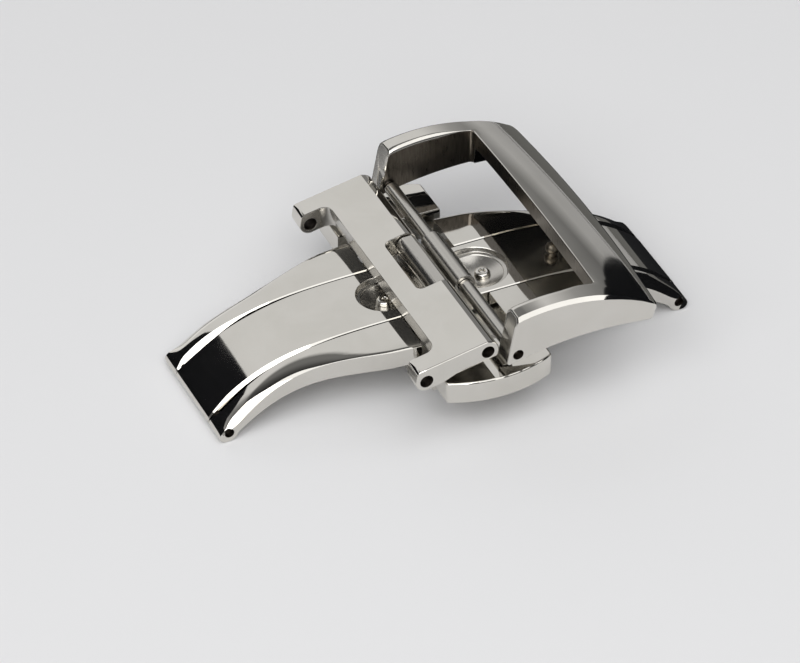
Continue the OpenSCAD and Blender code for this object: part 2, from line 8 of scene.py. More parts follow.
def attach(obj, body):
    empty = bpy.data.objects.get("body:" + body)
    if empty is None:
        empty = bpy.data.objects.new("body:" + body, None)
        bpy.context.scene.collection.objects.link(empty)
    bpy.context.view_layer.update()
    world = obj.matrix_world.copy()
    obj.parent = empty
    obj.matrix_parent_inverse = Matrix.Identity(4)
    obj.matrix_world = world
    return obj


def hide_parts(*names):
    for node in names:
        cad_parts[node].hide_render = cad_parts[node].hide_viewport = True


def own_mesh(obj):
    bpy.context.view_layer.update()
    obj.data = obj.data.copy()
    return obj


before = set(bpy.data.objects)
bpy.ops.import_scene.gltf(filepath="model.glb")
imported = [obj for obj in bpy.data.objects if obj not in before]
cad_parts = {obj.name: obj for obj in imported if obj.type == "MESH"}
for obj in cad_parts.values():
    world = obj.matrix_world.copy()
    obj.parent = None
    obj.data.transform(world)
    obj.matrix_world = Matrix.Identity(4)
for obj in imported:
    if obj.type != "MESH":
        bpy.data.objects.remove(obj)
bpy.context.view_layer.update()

# A double folding buckle for a leather watch strap. Shapes are worked out in millimetres, in the part's own
# frame: X along the strap, Y across it, Z up from the surface that the buckle stands on.
MM = 0.001

# Blades and wings
HALF_LENGTH = 16.75
BLADE_HEIGHT = 4.5
END_HEIGHT = 0.65
BLADE_UNDER = 3.1
WING_UNDER = 3.3
HALF_WING = 2.6
RAIL_INNER = 2.7
BLADE_END = 4.55
BLADE_INNER = 5.9
BLADE_INNER_X = 3.1
BLADE_WAIST = 0.75
WAIST_START_X = 5.0
WAIST_SHAPE = 1.5
TOP_BEND = 4.6
UNDER_BEND = 4.2
WING_LIFT = 0.04
LAST_STATION_X = 16.5
FACET_END = 16.7

# Hinge ends
PIN_X = 16.07
PIN_Z = 0.68
BARREL_R = 0.68
HINGE_PIN_R = 0.32
HINGE_PIN_HALF = 4.25
PIN_HOLE_R = 0.33
WING_BORE_R = 0.36

# Bridge
BRIDGE_X = -0.33
BRIDGE_Z = 5.78
BRIDGE_TILT = math.radians(10.75)
BRIDGE_HALF = 9.74
BRIDGE_TOP = 0.82
BRIDGE_UNDER = 0.6
NOSE_R = 0.78
PLATE_DEPTH = 2.92
ARM_HOLE_X = -4.4
ARM_HOLE_Z = -0.12
ARM_HOLE_R = 0.44
ARM_END_R = 0.73
ARM_INNER = 8.3
SLOT_DEPTH = 1.5
SLOT_HALF = 2.7
BRIDGE_PIN_R = 0.42
BRIDGE_PIN_HALF = 8.94
KNUCKLE_R = 0.74
EYE_PLAY = 0.04

# Buckle frame, drawn round the spring bar
BAR_X = 1.42
BAR_Z = 5.54
FRAME_HALF = 10.5
FRAME_INNER = 9.0
BAR_START = 6.03
FRAME_REACH = 10.38
BAR_DEPTH = 1.25
FRAME_RISE = 3.48
FRAME_TOP_R = 12.7
FRAME_CREST_X = 2.7
FRAME_UNDER_R = 25.0
FRAME_UNDER_RISE = 0.48
FRAME_UNDER_CREST_X = 5.3
CROWN_R = 130.0
OUTER_EDGE_R = 130.0
CORNER_R = 0.4
RIM = 0.35
ARM_START = 1.4
BAR_ROUND_START = 9.6
BAR_ROUND_END = 10.3

# Spring bar
TUBE_R = 0.48
TUBE_WALL = 0.12
TUBE_HALF = 8.8
TIP_R = 0.32
TIP_END = 10.15
TIP_HOLE_R = 0.37

# Catch
LEFT_DISH_X = -3.25
LEFT_DISH_R = 1.75
RIGHT_DISH_X = 3.45
RIGHT_DISH_R = 2.15
DISH_DEPTH = 0.75
LEFT_STUD_X = -3.1
RIGHT_STUD_X = 3.9
STUD_R = 0.4
STUD_HEAD_R = 0.53
STRAP_STUD = (8.7, -0.5)
STRAP_STUD_HOLE_R = 0.31

# Pushers and what is behind them
PUSHER_X = 0.4
PUSHER_HALF = 3.7
PUSHER_TOP = 4.32
PUSHER_HEIGHT = 1.6
PUSHER_ENDS = 9.95
PUSHER_BACK = 6.9
PUSHER_FACE_R = 8.5
SLIDE_BOTTOM = 2.2
GUIDE_Z = 2.485
GUIDE_R = 0.26
GUIDE_END = 2.2
SHOULDER_HALF = 5.2
SPRING_R = 0.44
WIRE_R = 0.055

RING_STEPS = 64

# Degrees from which an edge stays crisp
CRISP_FORGED = 24
CRISP_TURNED = 34
CRISP_WIRE = 60


def blade_top(x):
    """Height of the blades' upper face, nearly flat in the middle and steep at the hinge ends."""
    return BLADE_HEIGHT - (BLADE_HEIGHT - END_HEIGHT) * (abs(x) / HALF_LENGTH) ** TOP_BEND


def blade_underside(x, middle, lift):
    """Height of an underside, from middle in the middle down to lift at the cross pin."""
    return lift + (middle - lift) * (1 - (abs(x) / PIN_X) ** UNDER_BEND)


def ramp(x, start, end):
    """0 before start, 1 after end, straight between them."""
    return min(max((x - start) / (end - start), 0.0), 1.0)


def fade(x, start, end):
    """0 before start, 1 after end, smooth between them."""
    t = ramp(x, start, end)
    return t * t * (3 - 2 * t)


def mixed(low, high, share):
    """Low where the share is 0 and high where it is 1."""
    return low + (high - low) * share


def arc(u, v, r, start, end, steps):
    """Points of an arc about (u, v), with its angles in degrees."""
    angles = [math.radians(start + (end - start) * i / steps) for i in range(steps + 1)]
    return [(u + r * math.cos(angle), v + r * math.sin(angle)) for angle in angles]


def eased(corners, steps):
    """A closed outline through corners (u, v, radius), each rounded by its own radius."""
    nearly_straight = math.radians(89)
    points = []
    for i, (u, v, r) in enumerate(corners):
        here = Vector((u, v))
        back = (Vector(corners[i - 1][:2]) - here).normalized()
        on = (Vector(corners[(i + 1) % len(corners)][:2]) - here).normalized()
        half = back.angle(on) / 2
        if r <= 0 or half > nearly_straight:
            points.append((u, v))
            continue
        middle = here + (back + on).normalized() * (r / math.sin(half))
        first = here + back * (r / math.tan(half)) - middle
        last = here + on * (r / math.tan(half)) - middle
        turn = first.angle_signed(last)
        for k in range(steps + 1):
            angle = -turn * k / steps
            points.append((
                middle.x + first.x * math.cos(angle) - first.y * math.sin(angle),
                middle.y + first.x * math.sin(angle) + first.y * math.cos(angle),
            ))
    return points


def inward(outline):
    """How a point of the outline moves when the outline shrinks by one."""
    area = sum(a[0] * b[1] - b[0] * a[1] for a, b in zip(outline, outline[1:] + outline[:1]))
    side = 1 if area > 0 else -1
    least_turn = 0.5
    moves = []
    for i, here in enumerate(outline):
        before = Vector(here) - Vector(outline[i - 1])
        after = Vector(outline[(i + 1) % len(outline)]) - Vector(here)
        normals = [Vector((-step.y, step.x)).normalized() * side for step in (before, after)]
        mean = (normals[0] + normals[1]).normalized()
        moves.append(mean / max(mean.dot(normals[0]), least_turn))
    return moves


def skin(rings, looped=False):
    """A closed mesh over rings of points. The first and last ring are capped, or joined when looped."""
    bm = bmesh.new()
    rows = [[bm.verts.new(point) for point in ring] for ring in rings]
    count = len(rows[0])
    pairs = list(zip(rows, rows[1:]))
    if looped:
        pairs.append((rows[-1], rows[0]))
    for low, high in pairs:
        for i in range(count):
            j = (i + 1) % count
            bm.faces.new((low[i], low[j], high[j], high[i]))
    if not looped:
        bm.faces.new(rows[0])
        bm.faces.new(rows[-1])
    bmesh.ops.recalc_face_normals(bm, faces=bm.faces)
    return bm


def joined(*meshes):
    """Several meshes as one. They don't touch."""
    bm = bmesh.new()
    for part in meshes:
        data = bpy.data.meshes.new("part")
        part.to_mesh(data)
        part.free()
        bm.from_mesh(data)
        bpy.data.meshes.remove(data)
    return bm


def across(outline, low, high, ease, round_steps=2):
    """An outline in X and Z with its width along Y from low to high. Its side edges are rounded by ease."""
    moves = inward(outline)
    rows = []
    for k in range(round_steps + 1):
        angle = math.radians(90 * k / round_steps)
        rows.append((low + ease * (1 - math.cos(angle)), ease * (1 - math.sin(angle))))
    rows += [(low + high - y, sink) for y, sink in reversed(rows)]
    return skin([
        [(x + move.x * sink, y, z + move.y * sink) for (x, z), move in zip(outline, moves)]
        for y, sink in rows
    ])


def upright(outline, low, high, ease, round_steps=2):
    """An outline in X and Y with its height from z = low to high."""
    bm = across(outline, low, high, ease, round_steps)
    for v in bm.verts:
        v.co = Vector((v.co.x, v.co.z, v.co.y))
    bmesh.ops.recalc_face_normals(bm, faces=bm.faces)
    return bm


def turned(profile, place, axis="Y", looped=False, steps=RING_STEPS):
    """A turned part. Its profile is (radius, distance along the axis) from end to end."""
    middle_x, middle_y, middle_z = place
    rings = []
    for r, along in profile:
        ring = []
        for k in range(steps):
            angle = 2 * math.pi * k / steps
            first, second = r * math.cos(angle), r * math.sin(angle)
            if axis == "Y":
                ring.append((middle_x + first, middle_y + along, middle_z + second))
            else:
                ring.append((middle_x + first, middle_y + second, middle_z + along))
        rings.append(ring)
    return skin(rings, looped)


def pin_profile(r, half, ease):
    """A plain pin with its two ends eased."""
    return [(r - ease, -half), (r, ease - half), (r, half - ease), (r - ease, half)]


def bore(x, z, r, reach):
    """A round hole along Y, to be cut."""
    return turned([(r, -reach), (r, reach)], (x, 0, z))


def wire_coil(r, wire, turns, length, place, side):
    """A round wire wound about Y from place, with its ends cut square."""
    steps, sides = 28, 12
    rings = []
    for i in range(turns * steps + 1):
        turn = 2 * math.pi * i / steps
        middle_y = wire + (length - 2 * wire) * i / (turns * steps)
        ring = []
        for k in range(sides):
            angle = 2 * math.pi * k / sides
            reach = r + wire * math.cos(angle)
            ring.append((
                place[0] + reach * math.cos(turn),
                place[1] + side * (middle_y + wire * math.sin(angle)),
                place[2] + reach * math.sin(turn),
            ))
        rings.append(ring)
    return skin(rings)


def piece_from(name, bm, *finishes):
    """The mesh as an object in metres. Its faces count their finishes from the first."""
    for v in bm.verts:
        v.co *= MM
    mesh = bpy.data.meshes.new(name)
    bm.to_mesh(mesh)
    bm.free()
    for finish in finishes:
        mesh.materials.append(finish)
    piece = bpy.data.objects.new(name, mesh)
    bpy.context.scene.collection.objects.link(piece)
    return piece


def work(piece, others, operation, finish):
    """Joins the other meshes to the piece, or cuts them out of it. What they leave has their finish."""
    for other in others:
        tool = piece_from("tool", other, finish)
        change = piece.modifiers.new("work", "BOOLEAN")
        change.operation = operation
        change.solver = "EXACT"
        change.material_mode = "TRANSFER"
        change.object = tool
        settle(piece)
        bpy.data.objects.remove(tool)


def settle(piece):
    """Makes what the modifiers show the piece's own mesh."""
    graph = bpy.context.evaluated_depsgraph_get()
    mesh = bpy.data.meshes.new_from_object(piece.evaluated_get(graph))
    old = piece.data
    piece.modifiers.clear()
    piece.data = mesh
    mesh.name = piece.name
    bpy.data.meshes.remove(old)


def break_edges(piece, width):
    """Rounds every sharp edge, as a polisher's wheel does."""
    change = piece.modifiers.new("broken_edges", "BEVEL")
    change.limit_method = "ANGLE"
    change.angle_limit = math.radians(40)
    change.width = width * MM
    change.segments = 2
    change.miter_outer = "MITER_ARC"
    change.use_clamp_overlap = True


def polish(piece, angle):
    """Even shading over each face, with edges sharper than the angle kept crisp."""
    mesh = piece.data
    mesh.polygons.foreach_set("use_smooth", [True] * len(mesh.polygons))
    mesh.set_sharp_from_angle(angle=math.radians(angle))
    change = piece.modifiers.new("polished_faces", "WEIGHTED_NORMAL")
    change.mode = "FACE_AREA_WITH_ANGLE"
    change.weight = 60
    change.keep_sharp = True
    settle(piece)
    return piece


def fit_up(piece, body, node):
    """Puts a finished piece on its body, in place of its CAD node."""
    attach(piece, body)
    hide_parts(node)


# Materials

def linear(hex_colour):
    """An sRGB hex colour as Blender's linear RGBA."""
    values = [int(hex_colour[i:i + 2], 16) / 255 for i in (1, 3, 5)]
    return [*(v / 12.92 if v <= 0.04045 else ((v + 0.055) / 1.055) ** 2.4 for v in values), 1.0]


def add_node(tree, kind, inputs=None, **settings):
    """Adds a node. An input is a value, or another node's socket to link from."""
    node = tree.nodes.new(kind)
    for name, value in settings.items():
        setattr(node, name, value)
    for name, value in (inputs or {}).items():
        if isinstance(value, bpy.types.NodeSocket):
            tree.links.new(value, node.inputs[name])
        else:
            node.inputs[name].default_value = value
    return node


def per_mm(count):
    """The scale of a pattern that has this many marks in a millimetre."""
    return count / MM


def set_stops(node, stops):
    """Gives a colour ramp its stops, as (place, colour)."""
    elements = node.color_ramp.elements
    while len(elements) < len(stops):
        elements.new(0.5)
    for element, (place, colour) in zip(elements, stops):
        element.position = place
        element.color = colour


def new_finish(name):
    finish = bpy.data.materials.new(name)
    finish.use_nodes = True
    finish.node_tree.nodes.clear()
    return finish, finish.node_tree


def steel(finish, pattern, tones, haze, haze_start=0.3, relief=None):
    """The metal under a pattern, which moves it between two tones and two hazes.

    A tone is its place in the pattern and its colour. A relief is the socket of a bump."""
    tree = finish.node_tree
    tone = add_node(tree, "ShaderNodeValToRGB", {"Fac": pattern})
    set_stops(tone, [(place, linear(colour)) for place, colour in tones])
    roughness = add_node(tree, "ShaderNodeMapRange", {
        "Value": pattern, "From Min": haze_start, "From Max": 0.7, "To Min": haze[0], "To Max": haze[1],
    })
    look = {"Base Color": tone.outputs["Color"], "Metallic": 1.0, "Roughness": roughness.outputs["Result"]}
    if relief is not None:
        look["Normal"] = relief
    metal = add_node(tree, "ShaderNodeBsdfPrincipled", look)
    add_node(tree, "ShaderNodeOutputMaterial", {"Surface": metal.outputs["BSDF"]})
    return finish


def mirror_polished_steel():
    """Stainless steel 316L, forged and mirror polished on a cloth wheel.

    The wheel leaves a clear reflection with the faintest haze. Finger smears about 4 mm wide dull it in
    places, and hair lines 0.04 mm apart run along the strap. Real ones lie some ten times closer and
    wouldn't show."""
    finish, tree = new_finish("mirror_polished_steel")
    place = add_node(tree, "ShaderNodeTexCoord")
    smears = add_node(tree, "ShaderNodeTexNoise", {
        "Vector": place.outputs["Object"], "Scale": per_mm(0.26), "Detail": 3.0, "Roughness": 0.55,
        "Distortion": 0.4,
    })
    stretch = add_node(tree, "ShaderNodeMapping", {
        "Vector": place.outputs["Object"], "Scale": (per_mm(1.5), per_mm(26), per_mm(26)),
    })
    lines = add_node(tree, "ShaderNodeTexNoise", {
        "Vector": stretch.outputs["Vector"], "Scale": 1.0, "Detail": 2.0,
    })
    relief = add_node(tree, "ShaderNodeBump", {
        "Height": lines.outputs["Fac"], "Strength": 0.05, "Distance": 0.002 * MM,
    })
    return steel(finish, smears.outputs["Fac"], ((0.3, "#DAD7D1"), (0.75, "#D2CFC8")), (0.03, 0.075),
                 haze_start=0.35, relief=relief.outputs["Normal"])


def satin_brushed_steel():
    """Stainless steel 316L, milled and brushed with fine abrasive.

    The brush lines lie about 0.06 mm apart along the strap. They spread a highlight sideways into a soft
    grey."""
    finish, tree = new_finish("satin_brushed_steel")
    place = add_node(tree, "ShaderNodeTexCoord")
    stretch = add_node(tree, "ShaderNodeMapping", {
        "Vector": place.outputs["Object"], "Scale": (per_mm(1.8), per_mm(16), per_mm(16)),
    })
    lines = add_node(tree, "ShaderNodeTexNoise", {
        "Vector": stretch.outputs["Vector"], "Scale": 1.0, "Detail": 4.0, "Roughness": 0.6,
    })
    relief = add_node(tree, "ShaderNodeBump", {
        "Height": lines.outputs["Fac"], "Strength": 0.25, "Distance": 0.006 * MM,
    })
    return steel(finish, lines.outputs["Fac"], ((0.35, "#BDBAB3"), (0.7, "#CBC8C2")), (0.24, 0.38),
                 relief=relief.outputs["Normal"])


def drawn_spring_wire():
    """Hard-drawn stainless spring wire.

    Drawing it through a die and tempering it leave it a shade darker and warmer than the forgings, with a
    soft gloss. Its mottle is about 0.1 mm wide."""
    finish, tree = new_finish("drawn_spring_wire")
    place = add_node(tree, "ShaderNodeTexCoord")
    mottle = add_node(tree, "ShaderNodeTexNoise", {
        "Vector": place.outputs["Object"], "Scale": per_mm(9), "Detail": 2.0,
    })
    return steel(finish, mottle.outputs["Fac"], ((0.35, "#8B8780"), (0.7, "#9E9A92")), (0.22, 0.34))


def turned_satin_steel():
    """Stainless steel 316L, left as the lathe tool or the milling cutter left it.

    The feed marks, about 0.15 mm wide, blur a reflection evenly into soft bands of grey."""
    finish, tree = new_finish("turned_satin_steel")
    place = add_node(tree, "ShaderNodeTexCoord")
    marks = add_node(tree, "ShaderNodeTexNoise", {
        "Vector": place.outputs["Object"], "Scale": per_mm(6), "Detail": 3.0, "Roughness": 0.6,
    })
    return steel(finish, marks.outputs["Fac"], ((0.3, "#C4C1BB"), (0.7, "#CAC7C1")), (0.23, 0.27))


def passage_shade_steel():
    """Stainless steel 316L inside the strap's passage, ground and never polished, painted dark for the
    shade in the passage.

    Scratches 1 mm long stand upright in the wall, about 0.15 mm apart. They move its dark brown grey, which
    is painted shade and a painted dark reflection of the inside of the frame, and leave it half matt."""
    finish, tree = new_finish("passage_shade_steel")
    place = add_node(tree, "ShaderNodeTexCoord")
    stretch = add_node(tree, "ShaderNodeMapping", {
        "Vector": place.outputs["Object"], "Scale": (per_mm(7), per_mm(7), per_mm(0.9)),
    })
    scratches = add_node(tree, "ShaderNodeTexNoise", {
        "Vector": stretch.outputs["Vector"], "Scale": 1.0, "Detail": 3.0, "Roughness": 0.6,
    })
    return steel(finish, scratches.outputs["Fac"], ((0.3, "#5F5A53"), (0.7, "#77716A")), (0.26, 0.34))


def bore_shade_steel():
    """The wall of a drilled hole in stainless steel, rough and never polished, and the pin ends sunk in it.

    Its nearly black colour is painted shade, the shade deep in a small hole. Spots of about 0.3 mm move it
    between two dark tones and two hazes."""
    finish, tree = new_finish("bore_shade_steel")
    place = add_node(tree, "ShaderNodeTexCoord")
    bore_shade_mottle = add_node(tree, "ShaderNodeTexNoise", {
        "Vector": place.outputs["Object"], "Scale": per_mm(3), "Detail": 3.0,
    })
    return steel(finish, bore_shade_mottle.outputs["Fac"], ((0.35, "#2B2623"), (0.75, "#4A443E")), (0.45, 0.65))


def shaded_stud_steel():
    """Stainless steel 316L, turned, painted a dark brown grey for the shade it stands in under the outer
    bar.

    The dark colour is painted shade and a painted dark reflection of the passage. A high haze leaves one
    soft spot of light on the ball. Its spots are about 0.25 mm wide."""
    finish, tree = new_finish("shaded_stud_steel")
    place = add_node(tree, "ShaderNodeTexCoord")
    stud_shade_mottle = add_node(tree, "ShaderNodeTexNoise", {
        "Vector": place.outputs["Object"], "Scale": per_mm(4), "Detail": 3.0,
    })
    return steel(finish, stud_shade_mottle.outputs["Fac"], ((0.3, "#605A50"), (0.7, "#736C61")), (0.34, 0.42))


POLISHED = mirror_polished_steel()
SATIN = satin_brushed_steel()
TURNED = turned_satin_steel()
# Painted shade: the near black of the holes and of the pin ends in them stands for the shade deep in a
# small hole.
BORE_SHADE = bore_shade_steel()
# Painted shade: the dark brown grey of the strap's passage stands for the shade and dark reflections inside
# the frame.
PASSAGE_SHADE = passage_shade_steel()
WIRE = drawn_spring_wire()
# Painted shade: the ball stud's dark brown grey stands for the shadow of the outer bar and the dark passage
# it reflects.
SHADED_STUD = shaded_stud_steel()


# Base blades and wings

def rising(start, count, crowding):
    """X values from start to the hinge end, closer together towards it."""
    return [start + (LAST_STATION_X - start) * (1 - (1 - i / count) ** crowding) for i in range(count + 1)]


def paired(stations):
    """The stations that stand both on a blade's top and on its underside, clear of the barrel."""
    barrel_room = 0.8
    return [x for x in stations if x <= PIN_X - barrel_room]


def blade_outline(middle, lift, stations):
    """Side outline of a blade on the +X side, as (x, z, share).

    The share is how much of the upper edge's facet a point has: 1 on top, falling to 0 round the end."""
    end_r = 0.42
    end_steps = 8
    slope_turn, floor_turn, barrel_turn = 42, -90, -160
    top = [(x, blade_top(x), 1.0) for x in stations]
    round_end = arc(HALF_LENGTH - end_r, end_r + lift, end_r, slope_turn, floor_turn, end_steps)
    end = [(x, z, (1 - (i + 1) / (end_steps + 1)) ** 2) for i, (x, z) in enumerate(round_end)]
    foot = [(x, z, 0.0) for x, z in arc(PIN_X, PIN_Z + lift, BARREL_R, floor_turn, barrel_turn, 6)]
    under = [(x, blade_underside(x, middle, lift), 0.0) for x in paired(stations)[::-1]]
    return top + end + foot + under


def rail_stations():
    """Where a rail has its cross sections. They crowd where it bends down."""
    return rising(BLADE_INNER_X, 40, 1.25)


def rail_outer(x):
    """Y of a rail's outer face, which widens towards the middle and is drawn in at a waist."""
    straight = BLADE_END + (BLADE_INNER - BLADE_END) * (HALF_LENGTH - x) / (HALF_LENGTH - BLADE_INNER_X)
    turn = math.pi * (x - WAIST_START_X) / (HALF_LENGTH - WAIST_START_X)
    return straight - BLADE_WAIST * max(math.sin(turn), 0.0) ** WAIST_SHAPE


# The facets run along the strap, and each grows and shrinks between two values of X.

def outer_facet(x):
    """Width and fall of the facet along a rail's outer edge. It grows, and ends in a point."""
    least, growth = 0.05, 0.27
    steepness = 0.75
    size = least + growth * ramp(x, 10.0, 15.5)
    width = size * (1 - 0.85 * fade(x, 15.8, HALF_LENGTH))
    fall = steepness * size * (1 - 0.35 * fade(x, 15.9, FACET_END))
    return width, fall


def inner_facet(x):
    """Width of the facet along a rail's inner edge."""
    least, growth = 0.07, 0.3
    return (least + growth * fade(x, 11.0, 15.6)) * (1 - 0.8 * fade(x, 16.0, FACET_END))


def outward_fall(x):
    """How far a rail's upper face falls towards its outer edge."""
    least, growth = 0.05, 0.16
    return (least + growth * fade(x, 6.5, 11.0)) * (1 - 0.8 * fade(x, 15.6, FACET_END))


def wing_facet(x):
    """Width of the facet along a wing's edges, widest over the slope of the blade."""
    least, growth = 0.06, 0.15
    return least + growth * fade(x, 7.0, 12.5) * (1 - 0.9 * fade(x, 15.0, 16.6))


def rail(side):
    """One of a blade's two rails. Its upper face falls away towards the outer facet."""
    outline = blade_outline(BLADE_UNDER, 0.0, rail_stations())
    moves = inward([point[:2] for point in outline])
    under_ease = 0.06
    shoulder = 0.012
    spread = (0.0, 0.3, 0.5, 0.65, 0.8, 0.92, 1.0)
    rings = [[] for _ in range(len(spread) + 2)]
    for (x, z, share), move in zip(outline, moves):
        inner_ease = mixed(under_ease, inner_facet(x), share)
        width, fall = (mixed(under_ease, size, share) for size in outer_facet(x))
        lean = outward_fall(x) * share
        low, high = RAIL_INNER + inner_ease, rail_outer(x) - width
        places = [(RAIL_INNER, inner_ease)]
        for part in spread:
            drop = shoulder * share if part == 1.0 else 0.0
            places.append((low + (high - low) * part, lean * part ** 3 + drop))
        places.append((rail_outer(x), lean + fall))
        for ring, (y, sink) in zip(rings, places):
            ring.append((x + move.x * sink, side * y, z + move.y * sink))
    return waisted_side(skin(rings), len(outline), len(paired(rail_stations())))


def waisted_side(bm, ring_size, pairs):
    """The rail's outer side as upright strips, because the waist leaves it curved."""
    bm.verts.ensure_lookup_table()
    bm.faces.ensure_lookup_table()
    bm.faces.remove(bm.faces[-1])
    row = bm.verts[-ring_size:]
    for i in range(pairs - 1):
        bm.faces.new((row[i], row[i + 1], row[ring_size - 2 - i], row[ring_size - 1 - i]))
    bm.faces.new(row[pairs - 1:ring_size - pairs + 1])
    bmesh.ops.recalc_face_normals(bm, faces=bm.faces)
    return bm


def mirrored(bm):
    """The same mesh for the -X end."""
    for v in bm.verts:
        v.co.x = -v.co.x
    bmesh.ops.reverse_faces(bm, faces=bm.faces)
    return bm


def blades(name, node, end):
    """The two rails of one end, with the hole for the hinge pin."""
    rails = [rail(1), rail(-1)]
    hole = bore(PIN_X, PIN_Z, PIN_HOLE_R, BLADE_INNER + 1)
    if end < 0:
        rails = [mirrored(bm) for bm in rails]
        hole = mirrored(hole)
    piece = piece_from(name, joined(*rails), POLISHED)
    work(piece, [hole], "DIFFERENCE", BORE_SHADE)
    polish(piece, CRISP_FORGED)
    fit_up(piece, "base", node)


def wing_panel(inner_x, clear_start, clear_end):
    """The panel of a wing. No line crosses its upper face where the dish is cut."""
    least_gap = 0.05
    near = [inner_x, clear_start] if inner_x < clear_start - least_gap else [inner_x]
    outline = blade_outline(WING_UNDER, WING_LIFT, near + rising(clear_end, 34, 1.2))
    moves = inward([point[:2] for point in outline])
    under_ease = 0.05
    rings = []
    for side, at_edge in ((-1, True), (-1, False), (1, False), (1, True)):
        ring = []
        for (x, z, share), move in zip(outline, moves):
            ease = mixed(under_ease, wing_facet(x), share)
            y = side * (HALF_WING if at_edge else HALF_WING - ease)
            sink = ease if at_edge else 0.0
            ring.append((x + move.x * sink, y, z + move.y * sink))
        rings.append(ring)
    return skin(rings)


def dish_cut(x, r):
    """What the dish takes out of a wing: a shallow bowl, a ledge, a steep wall and a broken rim."""
    least_r = 0.02
    wall_in = 0.08
    ledge = 0.13 * r
    ledge_depth = 0.36
    bowl_r = r - wall_in - ledge
    bowl_rise = DISH_DEPTH - ledge_depth - 0.05
    bowl_curve = 2.2
    bowl_steps = 10
    profile = [(least_r, -DISH_DEPTH)]
    for i in range(1, bowl_steps + 1):
        share = i / bowl_steps
        profile.append((max(bowl_r * share, least_r), -DISH_DEPTH + bowl_rise * share ** bowl_curve))
    ledge_profile = [
        (bowl_r + 0.03, -ledge_depth - 0.01), (r - wall_in - 0.03, -ledge_depth + 0.02),
        (r - wall_in, -ledge_depth + 0.06),
    ]
    rim = ((-0.015, -0.09), (0.005, -0.045), (0.05, 0.0), (0.07, 0.02), (0.07, 0.5))
    profile += ledge_profile + [(r + out, up) for out, up in rim]
    return turned(profile, (x, 0, BLADE_HEIGHT), "Z", steps=96)


def knuckle_outline(x, z, left, right, flat):
    """A round eye on a neck that rises from the wing's inner end. Its top is filed flat by a little."""
    start = math.degrees(math.asin((KNUCKLE_R - flat) / KNUCKLE_R))
    neck_turn = -40
    neck_z = z - 0.9
    foot = WING_UNDER + 0.15
    wide_neck = 0.5
    right_arc = [point for point in arc(x, z, KNUCKLE_R, neck_turn, start, 12) if point[0] > x]
    left_arc = arc(x, z, KNUCKLE_R, 180 - start, 180 - neck_turn, 12)
    neck_x = min(right, x + KNUCKLE_R * math.cos(math.radians(neck_turn)))
    neck = [(neck_x, neck_z)] if right > x + wide_neck else []
    return [(left, foot), (right, foot), *neck, *right_arc, *left_arc, (left, neck_z)]


def wing(name, node, body, end, inner_x, dish_x, dish_r, stud_x, eye, eye_bore, extra_bores):
    """A panel with the knuckle's eye on its inner end, the dish cut in, and its holes."""
    margin = 0.12
    panel = wing_panel(inner_x * end, abs(dish_x) - dish_r - margin, abs(dish_x) + dish_r + margin)
    if end < 0:
        panel = mirrored(panel)
    piece = piece_from(name, panel, POLISHED)
    work(piece, [across(eye, -HALF_WING, HALF_WING, 0.05)], "UNION", TURNED)
    work(piece, [dish_cut(dish_x, dish_r)], "DIFFERENCE", TURNED)
    eye_x, eye_z, eye_r = eye_bore
    stud_hole_r = STUD_R + 0.01
    bores = [
        bore(eye_x, eye_z, eye_r, HALF_WING + 1),
        bore(end * PIN_X, PIN_Z, WING_BORE_R, HALF_WING + 1),
        turned([(stud_hole_r, 0), (stud_hole_r, BLADE_HEIGHT)], (stud_x, 0, 0), "Z"),
    ]
    work(piece, bores + extra_bores, "DIFFERENCE", BORE_SHADE)
    polish(piece, CRISP_FORGED)
    fit_up(piece, body, node)


blades("polished_blades_left", "base_blade_left", -1)
blades("polished_blades_right", "base_blade_right", 1)

wing(
    "polished_wing_left", "left_wing", "left_wing", end=-1, inner_x=0.3,
    dish_x=LEFT_DISH_X, dish_r=LEFT_DISH_R, stud_x=LEFT_STUD_X,
    eye=knuckle_outline(BRIDGE_X, BRIDGE_Z, left=BRIDGE_X - KNUCKLE_R + 0.02, right=0.28, flat=0.07),
    eye_bore=(BRIDGE_X, BRIDGE_Z, BRIDGE_PIN_R + EYE_PLAY),
    extra_bores=[],
)
wing(
    "polished_wing_right", "right_wing", "right_wing", end=1, inner_x=0.9,
    dish_x=RIGHT_DISH_X, dish_r=RIGHT_DISH_R, stud_x=RIGHT_STUD_X,
    eye=knuckle_outline(BAR_X, BAR_Z, left=0.92, right=1.86, flat=0.0),
    eye_bore=(BAR_X, BAR_Z, TUBE_R + EYE_PLAY),
    extra_bores=[turned([(STRAP_STUD_HOLE_R, 0), (STRAP_STUD_HOLE_R, 8)], (*STRAP_STUD, 0), "Z")],
)


# Turned parts

def catch_stud(name, node, x, body):
    """A headed stud with a dimple in its head, turned and polished."""
    head_z = BLADE_HEIGHT - DISH_DEPTH
    shank = [(STUD_R - 0.05, SLIDE_BOTTOM), (STUD_R, SLIDE_BOTTOM + 0.05), (STUD_R, head_z)]
    head = ((0.03, 0.01), (0.0, 0.05), (0.0, 0.19), (0.05, 0.27), (0.13, 0.315))
    dimple = ((0.27, 0.32), (0.215, 0.305), (0.19, 0.27), (0.17, 0.19), (0.03, 0.18))
    profile = shank + [(STUD_HEAD_R - inset, head_z + up) for inset, up in head]
    profile += [(r, head_z + up) for r, up in dimple]
    piece = polish(piece_from(name, turned(profile, (x, 0, 0), "Z"), POLISHED), CRISP_TURNED)
    fit_up(piece, body, node)


